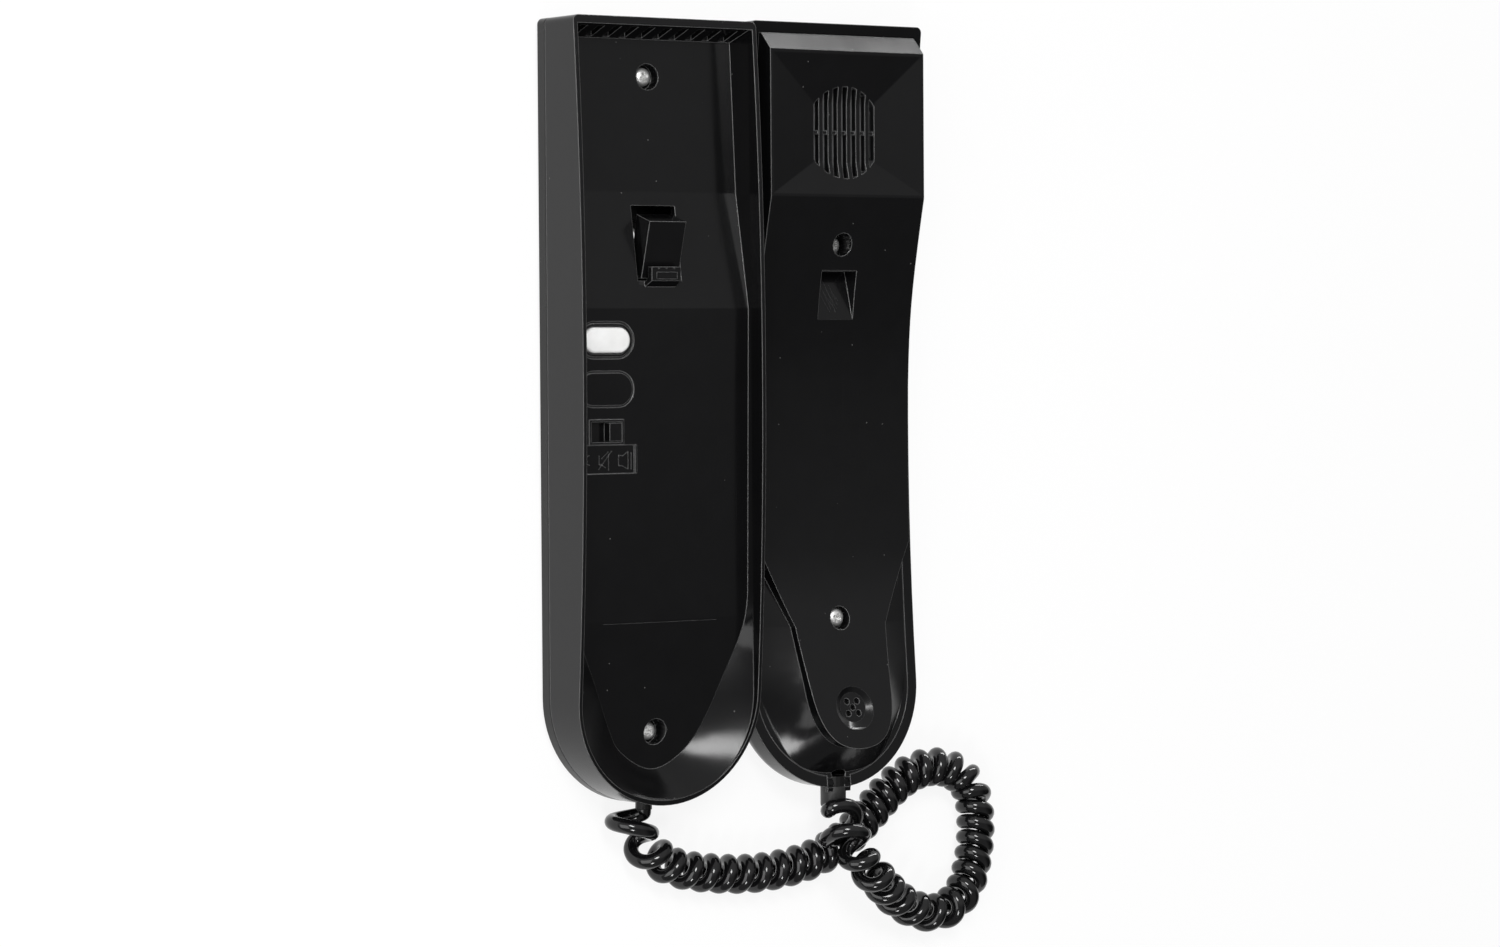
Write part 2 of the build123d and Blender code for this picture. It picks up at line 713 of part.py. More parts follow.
with BuildPart() as terminal_block:
    with BuildSketch(Plane.XY.offset(plate_floor)):
        with Locations((0, terminal_y)):
            Rectangle(terminal_length, terminal_width)
    extrude(amount=terminal_height)
    with BuildSketch(Plane.XY.offset(plate_floor + terminal_height - terminal_screw_h - slide_gap)):
        with Locations((0, terminal_y)):
            with GridLocations(terminal_pitch, 0, terminal_count, 1):
                RegularPolygon(terminal_screw_r + fit_gap, pin_sides)
    extrude(amount=clear_z, mode=Mode.SUBTRACT)
    with BuildSketch(Plane.XZ.offset(terminal_width / 2 - terminal_y)):
        with Locations((0, terminal_mouth_z)):
            with GridLocations(terminal_pitch, 0, terminal_count, 1):
                Rectangle(terminal_mouth, terminal_mouth)
    extrude(amount=-terminal_width / 2, mode=Mode.SUBTRACT)

with BuildPart() as terminal_screws:
    with BuildSketch(Plane.XY.offset(plate_floor + terminal_height - terminal_screw_h - slide_gap)):
        with Locations((0, terminal_y)):
            with GridLocations(terminal_pitch, 0, terminal_count, 1):
                RegularPolygon(terminal_screw_r, pin_sides)
    extrude(amount=terminal_screw_h)
    with BuildSketch(Plane.XY.offset(plate_floor + terminal_height - slide_gap - drive_depth)):
        with Locations((0, terminal_y)):
            with GridLocations(terminal_pitch, 0, terminal_count, 1):
                Rectangle(2 * terminal_screw_r, drive_width)
    extrude(amount=drive_depth, mode=Mode.SUBTRACT)

# Ribbon from the terminals to the board
ribbon_width = 12.0
ribbon_thickness = 0.8
ribbon_bend_r = 1.2
ribbon_end_z = 8.6
ribbon_lap = 5.0
ribbon_start_y = terminal_y + terminal_width / 2
ribbon_board_y = board_middle_y - board_length / 2
ribbon_middle_y = (ribbon_start_y + ribbon_board_y) / 2

with BuildPart() as ribbon_cable:
    with BuildLine(Plane.YZ) as ribbon_path:
        FilletPolyline((ribbon_start_y, ribbon_end_z), (ribbon_middle_y - ribbon_bend_r, ribbon_end_z),
                       (ribbon_middle_y + ribbon_bend_r, board_top_z + ribbon_thickness / 2),
                       (ribbon_board_y + ribbon_lap, board_top_z + ribbon_thickness / 2),
                       radius=ribbon_bend_r)
    with BuildSketch(Plane.XZ.offset(-ribbon_start_y)):
        with Locations((0, ribbon_end_z)):
            Rectangle(ribbon_width, ribbon_thickness)
    sweep()

# Call-tone disc on the wall plate behind the slits
sounder_r = 10.0
sounder_h = 5.0
sounder_y = 0.691 * half_length
sounder_hole_r = 1.5

with BuildPart() as sounder:
    with BuildSketch(Plane.XY.offset(plate_floor)):
        with Locations((0, sounder_y)):
            RegularPolygon(sounder_r, round_sides)
    extrude(amount=sounder_h)
    with BuildSketch(Plane.XY.offset(plate_floor + sounder_h)):
        with Locations((0, sounder_y)):
            RegularPolygon(sounder_hole_r, pin_sides)
    extrude(amount=-wall / 2, mode=Mode.SUBTRACT)

# Cord bush in the foot of the wall unit
with BuildPart() as base_grommet:
    with BuildSketch(Plane.XZ.offset(half_length + base_collar_length)):
        with Locations((0, base_exit_z)):
            RegularPolygon(base_collar_r, round_sides)
    extrude(amount=-base_collar_length - wall - fit_gap)
    with BuildSketch(Plane.XZ.offset(half_length - wall - fit_gap)):
        with Locations((0, base_exit_z)):
            RegularPolygon(base_collar_r + collar_flange, round_sides)
    extrude(amount=-collar_flange_width)

# Handset plan and side lines
handset_x = body_width / 2 + handset_gap + handset_width / 2
handset_half_w = handset_width / 2
handset_centre_y = handset_foot_y + handset_half_w
inner_half_w = handset_half_w - lip_width
inner_head_y = handset_head_y - head_lip_width
inner_foot_y = handset_centre_y - inner_half_w


def lip_line(drop):
    """side view of the lip between the shells, lowered by drop; gives its ends"""
    first = (handset_head_y, lip_head_z - drop)
    last = (handset_foot_y, lip_foot_z - drop)
    ThreePointArc(first, (lip_middle_y, lip_middle_z - drop), last)
    return first, last


# Ear and mouth side in the side view, as shares of the half length and of the mouth's height
brow_shares = (0.977, 0.628)
ear_head_shares = (0.9345, 0.806)
ear_foot_shares = (0.5545, 0.806)
grip_shares = ((0.4345, 0.686), (0.269, 0.552), (0.06, 0.484), (-0.27, 0.484), (-0.46, 0.531),
               (-0.6, 0.643), (-0.745, 0.822))
mouth_shares = (-0.882, 1.0)


def front_line(drop, ear_drop):
    """ear and mouth side lowered by drop, and by ear_drop over the ear; gives its ends"""
    brow = (brow_shares[0] * half_length, brow_shares[1] * mouth_z - ear_drop)
    ear_head = (ear_head_shares[0] * half_length, ear_head_shares[1] * mouth_z - ear_drop)
    ear_foot = (ear_foot_shares[0] * half_length, ear_foot_shares[1] * mouth_z - ear_drop)
    grip = [(y * half_length, z * mouth_z - drop) for y, z in grip_shares]
    mouth = (mouth_shares[0] * half_length, mouth_shares[1] * mouth_z - drop)
    first = (handset_head_y + overrun, brow[1])
    Polyline(first, brow, ear_head, ear_foot)
    Spline(ear_foot, *grip, mouth)
    return first, mouth


# Tongue that carries the mouthpiece: its outline, and the planes of its foot and of the flanks
tongue_start_y = -0.345 * half_length
tongue_neck = (0.265 * handset_width, -0.564 * half_length)
tongue_waist = (0.2305 * handset_width, -0.745 * half_length)
tongue_foot_y = -0.882 * half_length
tongue_slope_share = 0.12
flank_head_y = -0.418 * half_length
flank_low_z = 8.8
flank_high_z = 9.3
flank_low_fall_share = 0.067
flank_high_fall_share = 0.25
flank_low_plane = Plane(origin=(handset_x, flank_head_y, flank_low_z), x_dir=(1, 0, 0),
                        z_dir=(0, flank_low_fall_share, 1))
flank_high_plane = Plane(origin=(handset_x, flank_head_y, flank_high_z), x_dir=(1, 0, 0),
                         z_dir=(0, flank_high_fall_share, 1))
low_stretch = sqrt(1 + flank_low_fall_share ** 2)
high_stretch = sqrt(1 + flank_high_fall_share ** 2)
neck_at = (tongue_start_y - flank_head_y) / (tongue_start_y - tongue_neck[1])
flank_bury = 0.5
flank_top_half_w = inner_half_w - (inner_half_w - tongue_neck[0]) * neck_at - flank_bury

half_turn_share = sqrt(0.5)

with BuildPart() as flanks:
    with BuildSketch(flank_low_plane):
        with BuildLine():
            neck = (inner_half_w, (tongue_neck[1] - flank_head_y) * low_stretch)
            side = (inner_half_w, (handset_centre_y - flank_head_y) * low_stretch)
            bend = (inner_half_w * half_turn_share, side[1] - inner_half_w * half_turn_share)
            foot = (0, side[1] - inner_half_w)
            Line((0, 0), (inner_half_w, 0))
            Line((inner_half_w, 0), neck)
            Spline(neck, side, bend, foot, tangents=((0, -1), (-1, 0)))
            mirror(about=Plane.YZ)
        make_face()
    with BuildSketch(flank_high_plane):
        with BuildLine():
            neck = (tongue_neck[0] - flank_bury, (tongue_neck[1] - flank_head_y) * high_stretch)
            waist = (tongue_waist[0] - flank_bury, (tongue_waist[1] - flank_head_y) * high_stretch)
            foot = (0, (tongue_foot_y + flank_bury - flank_head_y) * high_stretch)
            Line((0, 0), (flank_top_half_w, 0))
            Line((flank_top_half_w, 0), neck)
            Spline(neck, waist, foot, tangents=((-tongue_slope_share, -1), (-1, 0)))
            mirror(about=Plane.YZ)
        make_face()
    loft(ruled=True)
    with BuildSketch(Plane.XY):
        with BuildLine():
            square_head_plan(handset_x, inner_half_w, inner_head_y, handset_centre_y)
        make_face()
    extrude(amount=clear_z, mode=Mode.INTERSECT)

# Handset screws in deep wells
upper_seat_z = 11.2
lower_seat_z = 12.0
handset_seat_floor = 1.4
handset_post_gap = 0.1
upper_well_r = 3.3
lower_well_r = 3.4
upper_screw_y = 0.432 * half_length
lower_screw_y = -0.545 * half_length
handset_wells = ((upper_screw_y, upper_well_r, upper_seat_z), (lower_screw_y, lower_well_r, lower_seat_z))
handset_well_wall = 1.3
handset_screw_grip = 4.4
handset_screw_places = [(handset_x, upper_screw_y), (handset_x, lower_screw_y)]

# Earpiece dish and its grille of slots inside a circle, with a bar across the middle
grille_y = 0.7227 * half_length
grille_r = 13.15
grille_slit_count = 7
grille_pitch = 3.25
grille_slit_width = 1.75
grille_bar = 1.0
grille_bar_drop = 0.6
dish_depth = 2.1
dish_land = 0.8
dish_flat_half_w = 10.4
dish_flat_half_l = 8.4
ear_face_z = ear_foot_shares[1] * mouth_z
ear_head_y = ear_head_shares[0] * half_length
ear_foot_y = ear_foot_shares[0] * half_length
ear_ceiling_z = ear_face_z - dish_depth - shell_wall

# Pocket that drops over the cradle lever
pocket_half_w = 6.1
pocket_head_y = 0.364 * half_length
pocket_foot_y = 0.2345 * half_length
pocket_wall = 1.4

# Mouthpiece dish and holes
mouth_y = -0.773 * half_length
mouth_slope_share = 0.27
mouth_dish_r = 6.9
mouth_dish_foot_r = 4.4
mouth_dish_depth = 1.2
mouth_hole_r = 0.95
mouth_hole_ring_r = 2.5
mouth_hole_count = 4
mouth_middle_z = 0.868 * mouth_z
mouth_plane = Plane(origin=(handset_x, mouth_y, mouth_middle_z), x_dir=(1, 0, 0),
                    z_dir=(0, mouth_slope_share, 1))

# Cord notch in the lip
notch_half_w = 4.15
mouth_space_reach = 6.9
mouth_space_y = mouth_y - mouth_space_reach

pocket_foot_z = 0.537 * mouth_z
pocket_drop = 4.0
pocket_box_z = pocket_foot_z - pocket_drop - pocket_wall
mouth_hole_depth = 2.6
mouth_hole_turn = 45.0
collar_round = 0.8

with BuildPart() as inner_seat:
    with BuildSketch(Plane.XY):
        with BuildLine():
            square_head_plan(handset_x, inner_half_w - fit_gap, inner_head_y - fit_gap,
                             handset_centre_y)
        make_face()
        with BuildLine():
            square_head_plan(handset_x, inner_half_w - shell_wall, inner_head_y - shell_wall,
                             handset_centre_y)
        make_face(mode=Mode.SUBTRACT)
        with Locations((handset_x, handset_foot_y)):
            Rectangle(2 * notch_half_w - 2 * fit_gap, lip_width + wall, align=(Align.CENTER, Align.MIN))
    extrude(amount=clear_z)
    with BuildSketch(Plane.YZ):
        with BuildLine():
            first, last = lip_line(0)
            low_first, low_last = lip_line(skirt_depth)
            Line(first, low_first)
            Line(last, low_last)
        make_face()
    extrude(amount=body_width * 2, both=True, mode=Mode.INTERSECT)

with BuildPart() as handset_outer_space:
    with BuildSketch(Plane.XY.offset(back_thickness)):
        with BuildLine():
            square_head_plan(handset_x, inner_half_w, inner_head_y, handset_centre_y)
        make_face()
    extrude(amount=clear_z)
    chamfer(handset_outer_space.faces().sort_by(Axis.Z)[0].outer_wire().edges(),
            lip_middle_z - skirt_depth - back_thickness - slide_gap)

with BuildPart() as handset_inner_space:
    with BuildSketch(Plane.XY):
        with BuildLine():
            Polyline((handset_x, inner_head_y - shell_wall), (handset_x + inner_half_w - shell_wall,
                     inner_head_y - shell_wall),
                     (handset_x + inner_half_w - shell_wall, tongue_start_y),
                     (handset_x + tongue_neck[0] - shell_wall, tongue_neck[1]),
                     (handset_x + tongue_waist[0] - shell_wall, tongue_waist[1]),
                     (handset_x + tongue_waist[0] / 2, mouth_space_y), (handset_x, mouth_space_y))
            mirror(about=Plane(origin=(handset_x, 0, 0), x_dir=(0, 1, 0), z_dir=(1, 0, 0)))
        make_face()
    extrude(amount=clear_z)
    with BuildSketch(Plane.YZ):
        with BuildLine():
            first, mouth = front_line(shell_wall, shell_wall + dish_depth)
            foot = (handset_foot_y - overrun, mouth[1])
            Line(mouth, foot)
            close_side(first, foot, -overrun)
        make_face()
    extrude(amount=body_width * 2, both=True, mode=Mode.INTERSECT)

# Walls of the screw wells and of the pocket, up into the shell's skin
with BuildPart() as shell_walls:
    for well_y, well_r, seat_z in handset_wells:
        with BuildSketch(Plane.XY.offset(seat_z - handset_seat_floor)):
            with Locations((handset_x, well_y)):
                RegularPolygon(well_r + handset_well_wall, round_sides)
        extrude(amount=clear_z)
    with BuildSketch(Plane.XY.offset(pocket_box_z)):
        with Locations((handset_x, (pocket_head_y + pocket_foot_y) / 2)):
            Rectangle(2 * pocket_half_w + 2 * pocket_wall, pocket_head_y - pocket_foot_y + 2 * pocket_wall)
    extrude(amount=clear_z)
    with BuildSketch(Plane.YZ):
        with BuildLine():
            first, mouth = front_line(shell_wall / 2, shell_wall / 2)
            foot = (handset_foot_y - overrun, mouth[1])
            Line(mouth, foot)
            close_side(first, foot, -overrun)
        make_face()
    extrude(amount=body_width * 2, both=True, mode=Mode.INTERSECT)

with BuildPart() as handset_inner_shell:
    # ear side and tongue under the front line
    with BuildSketch(Plane.XY):
        with BuildLine():
            Polyline((handset_x, inner_head_y), (handset_x + inner_half_w, inner_head_y),
                     (handset_x + inner_half_w, tongue_start_y),
                     (handset_x + tongue_neck[0], tongue_neck[1]),
                     (handset_x + tongue_waist[0], tongue_waist[1]))
            Spline((handset_x + tongue_waist[0], tongue_waist[1]), (handset_x, tongue_foot_y),
                   tangents=((-tongue_slope_share, -1), (-1, 0)))
            mirror(about=Plane(origin=(handset_x, 0, 0), x_dir=(0, 1, 0), z_dir=(1, 0, 0)))
        make_face()
    extrude(amount=clear_z)
    with BuildSketch(Plane.YZ):
        with BuildLine():
            first, mouth = front_line(0, 0)
            foot = (handset_foot_y - overrun, mouth[1])
            Line(mouth, foot)
            close_side(first, foot, -overrun)
        make_face()
    extrude(amount=body_width * 2, both=True, mode=Mode.INTERSECT)
    add(flanks.part)

    with BuildSketch(Plane.YZ):
        with BuildLine():
            first, last = lip_line(0)
            close_side(first, last, -overrun)
        make_face()
    extrude(amount=body_width * 2, both=True, mode=Mode.SUBTRACT)
    add(inner_seat.part)
    add(handset_inner_space.part, mode=Mode.SUBTRACT)

    # wells of the handset screws
    add(shell_walls.part)
    for well_y, well_r, seat_z in handset_wells:
        with BuildSketch(Plane.XY.offset(seat_z)):
            with Locations((handset_x, well_y)):
                RegularPolygon(well_r, round_sides)
        extrude(amount=clear_z, mode=Mode.SUBTRACT)
    with BuildSketch(Plane.XY):
        with Locations(*handset_screw_places):
            RegularPolygon(screw_shank_r + fit_gap, pin_sides)
    extrude(amount=clear_z, mode=Mode.SUBTRACT)

    # pocket for the cradle lever
    with BuildSketch(Plane.YZ.offset(handset_x)):
        with BuildLine():
            Polyline((pocket_foot_y, pocket_foot_z), (pocket_head_y, pocket_foot_z - pocket_drop),
                     (pocket_head_y, clear_z), (pocket_foot_y, clear_z), close=True)
        make_face()
    extrude(amount=pocket_half_w, both=True, mode=Mode.SUBTRACT)

    # four-sided dish round the earpiece, and its slits
    with BuildSketch(Plane.XY.offset(ear_face_z + sliver)):
        with Locations((handset_x, (ear_head_y + ear_foot_y) / 2)):
            Rectangle(2 * inner_half_w - 2 * dish_land, ear_head_y - ear_foot_y - 2 * dish_land)
    with BuildSketch(Plane.XY.offset(ear_face_z - dish_depth)):
        with Locations((handset_x, grille_y)):
            Rectangle(2 * dish_flat_half_w, 2 * dish_flat_half_l)
    loft(ruled=True, mode=Mode.SUBTRACT)
    with BuildSketch(Plane.XY):
        with Locations((handset_x, grille_y)):
            Circle(grille_r)
        with BuildSketch(Plane.XY, mode=Mode.INTERSECT):
            with Locations((handset_x, grille_y)):
                with GridLocations(grille_pitch, 0, grille_slit_count, 1):
                    Rectangle(grille_slit_width, 2 * grille_r)
    extrude(amount=clear_z, mode=Mode.SUBTRACT)
    with BuildSketch(Plane.XY.offset(ear_face_z - dish_depth - grille_bar_drop)):
        with Locations((handset_x, grille_y)):
            Rectangle((grille_slit_count + 1) * grille_pitch, grille_bar)
    extrude(amount=grille_bar_drop - shell_wall)

    # mouthpiece dish and its holes
    with BuildSketch(mouth_plane.offset(sliver)):
        Circle(mouth_dish_r)
    with BuildSketch(mouth_plane.offset(-mouth_dish_depth)):
        Circle(mouth_dish_foot_r)
    loft(mode=Mode.SUBTRACT)
    with BuildSketch(mouth_plane):
        RegularPolygon(mouth_hole_r, pin_sides)
        with PolarLocations(mouth_hole_ring_r, mouth_hole_count, start_angle=mouth_hole_turn):
            RegularPolygon(mouth_hole_r, pin_sides)
    extrude(amount=-mouth_hole_depth, mode=Mode.SUBTRACT)

    # upper half of the cord exit
    with BuildSketch(Plane.XZ.offset(-handset_foot_y + overrun)):
        with Locations((handset_x, handset_exit_z)):
            RegularPolygon(handset_collar_r + fit_gap, round_sides)
    extrude(amount=-overrun - lip_width - wall, mode=Mode.SUBTRACT)

# Outer shell
with BuildPart() as handset_outer_shell:
    with BuildSketch(Plane.XY) as back_plan:
        with BuildLine():
            square_head_plan(handset_x, handset_half_w, handset_head_y, handset_centre_y)
        make_face()
        fillet(back_plan.vertices().group_by(Axis.Y)[-1], handset_corner_r)
    extrude(amount=clear_z)
    fillet(handset_outer_shell.faces().sort_by(Axis.Z)[0].outer_wire().edges(), back_round)
    with BuildSketch(Plane.YZ):
        with BuildLine():
            first, last = lip_line(0)
            beyond_head = (first[0] + overrun, first[1])
            beyond_foot = (last[0] - overrun, last[1])
            Line(beyond_head, first)
            Line(last, beyond_foot)
            close_side(beyond_head, beyond_foot, clear_z + overrun)
        make_face()
    extrude(amount=body_width * 2, both=True, mode=Mode.SUBTRACT)
    add(handset_outer_space.part, mode=Mode.SUBTRACT)
    for well_y, well_r, seat_z in handset_wells:
        post_z = seat_z - handset_seat_floor - handset_post_gap
        with BuildSketch(Plane.XY.offset(back_thickness)):
            with Locations((handset_x, well_y)):
                RegularPolygon(screw_shank_r + post_wall, post_sides)
        extrude(amount=post_z - back_thickness)
        with BuildSketch(Plane.XY.offset(post_z - handset_screw_grip)):
            with Locations((handset_x, well_y)):
                RegularPolygon(screw_shank_r + fit_gap, pin_sides)
        extrude(amount=clear_z, mode=Mode.SUBTRACT)
    with BuildSketch(Plane.XY.offset(handset_exit_z)):
        with Locations((handset_x, handset_foot_y - overrun)):
            Rectangle(2 * notch_half_w, lip_width + wall + overrun, align=(Align.CENTER, Align.MIN))
    extrude(amount=clear_z, mode=Mode.SUBTRACT)
    with BuildSketch(Plane.XZ.offset(-handset_foot_y + overrun)):
        with Locations((handset_x, handset_exit_z)):
            RegularPolygon(handset_collar_r + fit_gap, round_sides)
    extrude(amount=-overrun - lip_width - wall, mode=Mode.SUBTRACT)

with BuildPart() as handset_screws:
    for well_y, well_r, seat_z in handset_wells:
        with BuildSketch(Plane.XY.offset(seat_z)):
            with Locations((handset_x, well_y)):
                RegularPolygon(screw_head_r, round_sides)
        head = extrude(amount=screw_head_h)
        chamfer(head.edges().group_by(Axis.Z)[-1], screw_head_h * head_round_share)
        with BuildSketch(Plane.XY.offset(seat_z)):
            with Locations((handset_x, well_y)):
                RegularPolygon(screw_shank_r, pin_sides)
        extrude(amount=-handset_seat_floor - handset_screw_grip)
        with BuildSketch(Plane.XY.offset(seat_z + screw_head_h - drive_depth)):
            with Locations((handset_x, well_y)):
                Rectangle(drive_length, drive_width)
                Rectangle(drive_width, drive_length)
        extrude(amount=drive_depth, mode=Mode.SUBTRACT)

# Earpiece capsule against the grille, on a felt ring
capsule_r = 17.0
capsule_h = 7.0
felt_h = 1.5
felt_width = 3.4

with BuildPart() as earpiece_ring:
    with BuildSketch(Plane.XY.offset(ear_ceiling_z)):
        with Locations((handset_x, grille_y)):
            RegularPolygon(capsule_r, round_sides)
            RegularPolygon(capsule_r - felt_width, round_sides, mode=Mode.SUBTRACT)
    extrude(amount=-felt_h)

with BuildPart() as earpiece:
    with BuildSketch(Plane.XY.offset(ear_ceiling_z - felt_h)):
        with Locations((handset_x, grille_y)):
            RegularPolygon(capsule_r, round_sides)
    extrude(amount=-capsule_h)
    chamfer(earpiece.edges().group_by(Axis.Z)[0], felt_h)

# Microphone in its boot behind the mouth holes
microphone_r = 4.0
microphone_h = 4.0
boot_wall = 1.0
mouth_ceiling = mouth_plane.offset(-mouth_hole_depth)

with BuildPart() as microphone:
    with BuildSketch(mouth_ceiling):
        RegularPolygon(microphone_r, round_sides)
    extrude(amount=-microphone_h)

with BuildPart() as microphone_boot:
    with BuildSketch(mouth_ceiling):
        RegularPolygon(microphone_r + boot_wall, round_sides)
    extrude(amount=-microphone_h - boot_wall)
    with BuildSketch(mouth_ceiling):
        RegularPolygon(microphone_r, round_sides)
    extrude(amount=-microphone_h, mode=Mode.SUBTRACT)

# Steel weight on the back of the handset
weight_length = 36.0
weight_width = 30.0
weight_thickness = 5.0
weight_y = -0.127 * half_length

with BuildPart() as balance_weight:
    with BuildSketch(Plane.XY.offset(back_thickness)):
        with Locations((handset_x, weight_y)):
            Rectangle(weight_width, weight_length)
    extrude(amount=weight_thickness)

# Cord collar in the foot of the handset
with BuildPart() as handset_grommet:
    with BuildSketch(Plane.XZ.offset(handset_collar_length - handset_foot_y)):
        with Locations((handset_x, handset_exit_z)):
            RegularPolygon(handset_collar_r, round_sides)
    extrude(amount=-handset_collar_length - lip_width)
    chamfer(handset_grommet.edges().group_by(Axis.Y)[0], collar_round)

# Curly cord: route of its axis from the foot of the wall unit to the foot of the handset
cord_r = 2.0
coil_r = 3.8
cord_sides = 4
cord_gap = 9.5
coil_ease = 14.0
coil_ease_pitch = 5.0
tightest_share = 0.75
cord_steps = 1000
cord_start = Vector(0, -half_length - base_collar_length, base_exit_z)
cord_end = Vector(handset_x, handset_foot_y - handset_collar_length, handset_exit_z)
cord_points = ((0.8, -121, 6), (5, -126.2, 6), (13, -129.8, 6), (24, -131.8, 6), (36, -132.8, 6),
               (48, -132, 6), (60, -129.5, 6), (70, -124.5, 6), (79, -117, 6), (88, -109.8, 6),
               (98, -105.5, 6), (109, -106.5, 6), (116.5, -113, 6), (118, -123, 6), (116, -134, 6),
               (111.5, -144, 6), (103, -149.5, 6), (94, -147, 6.5), (85.5, -141.5, 9.5),
               (77, -136.8, 15), (69.5, -132.5, 19), (64.5, -127.5, 19.4), (62.5, -122.5, 15.5))
coil_start = cord_start - Vector(0, 2 * cord_r, 0)
coil_end = cord_end - Vector(0, 2 * cord_r, 0)

with BuildLine() as cord_route:
    Spline(coil_start, *cord_points, coil_end)
cord_axis = cord_route.edge()


def smooth(share):
    """0 to 1 with flat ends"""
    share = min(max(share, 0), 1)
    return share * share * (3 - 2 * share)


# way gone along the axis and turns of the coil at each step: wider in bends and at both ends
places = [cord_axis @ (step / cord_steps) for step in range(cord_steps + 1)]
headings = [(cord_axis % (step / cord_steps)).normalized() for step in range(cord_steps + 1)]
travel = [0]
for place, following in zip(places, places[1:]):
    travel.append(travel[-1] + (following - place).length)
turns = [0]
for step in range(cord_steps):
    advance = travel[step + 1] - travel[step]
    curve = (headings[step + 1] - headings[step]).length / advance
    ease = 1 - smooth(min(travel[step], travel[-1] - travel[step]) / coil_ease)
    pitch = ((2 * cord_r + cord_gap) / (1 - min(coil_r * curve, tightest_share))
             + coil_ease_pitch * ease)
    turns.append(turns[-1] + advance / pitch)
coil_turns = round(turns[-1])
turns = [turn * coil_turns / turns[-1] for turn in turns]


def at_share(values, share):
    """value of a table at a share of the axis"""
    step = min(int(share * cord_steps), cord_steps - 1)
    return values[step] + (values[step + 1] - values[step]) * (share * cord_steps - step)


def coil_point(share):
    """centre of the wire at a share of the axis"""
    share = min(max(share, 0), 1)
    along = (cord_axis % share).normalized()
    across = along.cross(Vector(0, 0, 1)).normalized()
    up = across.cross(along)
    gone = at_share(travel, share)
    reach = coil_r * smooth(min(gone, travel[-1] - gone) / coil_ease)
    angle = 2 * pi * at_share(turns, share)
    return cord_axis @ share + (across * sin(angle) - up * cos(angle)) * reach


def share_of(turn):
    """share of the axis at which the coil has made a number of turns"""
    step = 0
    while step < cord_steps - 1 and turns[step + 1] < turn:
        step += 1
    return (step + (turn - turns[step]) / (turns[step + 1] - turns[step])) / cord_steps


def arc_joint(start, start_way, end, end_way):
    """point where two arcs of equal reach meet between two places with given headings"""
    chord = end - start
    ways = start_way + end_way
    square = 2 * (1 - start_way.dot(end_way))
    linear = 2 * chord.dot(ways)
    reach = chord.dot(chord) / linear
    if square * reach > slide_gap * linear / cord_steps:
        reach = (sqrt(linear * linear + 4 * square * chord.dot(chord)) - linear) / (2 * square)
    return ((start + start_way * reach) + (end - end_way * reach)) * 0.5


nudge = 0.2 / cord_steps
stations = [share_of(half / 2) for half in range(2 * coil_turns + 1)]
knots = [coil_point(share) for share in stations]
ways = [(coil_point(share + nudge) - coil_point(share - nudge)).normalized() for share in stations]
ways[0] = Vector(0, -1, 0)
ways[-1] = Vector(0, 1, 0)
arc_radii = []

with BuildPart() as curly_cord:
    with BuildLine() as cord_path:
        Line(cord_start, coil_start)
        for start, start_way, end, end_way in zip(knots, ways, knots[1:], ways[1:]):
            joint = arc_joint(start, start_way, end, end_way)
            near_arc = TangentArc(start, joint, tangent=start_way)
            far_arc = TangentArc(joint, end, tangent=near_arc % 1)
            arc_radii += [near_arc.radius, far_arc.radius]
        Line(coil_end, cord_end)
    with BuildSketch(Plane(origin=cord_start, x_dir=(1, 0, 0), z_dir=(0, -1, 0))):
        RegularPolygon(cord_r, cord_sides)
    sweep(clean=False)

# least gap of the wire to itself, on points about half a millimetre apart
wire = cord_path.wire()
point_count = round(wire.length / (cord_r / 4))
wire_points = [wire @ (i / point_count) for i in range(point_count + 1)]
apart = round(pi * coil_r * point_count / wire.length)
least_gap = min((wire_points[i] - wire_points[j]).length
                for i in range(0, point_count, 2) for j in range(i + apart, point_count, 2)) - 2 * cord_r
print(f"cord: {coil_turns} curls, {wire.length:.0f} mm of wire, least arc radius {min(arc_radii):.2f}, "
      f"least gap to itself {least_gap:.2f} mm, lowest {min(p.Z for p in wire_points) - cord_r:.2f}")

pieces = {
    "wall_plate": wall_plate, "front_cover": front_cover, "cover_screws": cover_screws,
    "circuit_board": circuit_board, "board_screws": board_screws, "terminal_block": terminal_block,
    "terminal_screws": terminal_screws, "ribbon_cable": ribbon_cable, "sounder": sounder,
    "hook_lever": hook_lever, "hook_pin": hook_pin, "hook_spring": hook_spring,
    "hook_switch": hook_switch, "door_button": door_button, "door_switch": door_switch,
    "door_switch_plunger": door_switch_plunger, "volume_knob": volume_knob,
    "volume_switch": volume_switch, "base_grommet": base_grommet,
    "handset_inner_shell": handset_inner_shell, "handset_outer_shell": handset_outer_shell,
    "handset_screws": handset_screws, "earpiece": earpiece, "earpiece_ring": earpiece_ring,
    "microphone": microphone, "microphone_boot": microphone_boot, "balance_weight": balance_weight,
    "handset_grommet": handset_grommet, "curly_cord": curly_cord,
}
for name, piece in pieces.items():
    piece.part.label = name
    export_step(piece.part, f"parts/{name}.step")
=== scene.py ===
"""Looks of the audio intercom handset: camera, light, materials, curly cord and small pieces."""

import json
import math

import bmesh
import bpy
from mathutils import Matrix, Vector


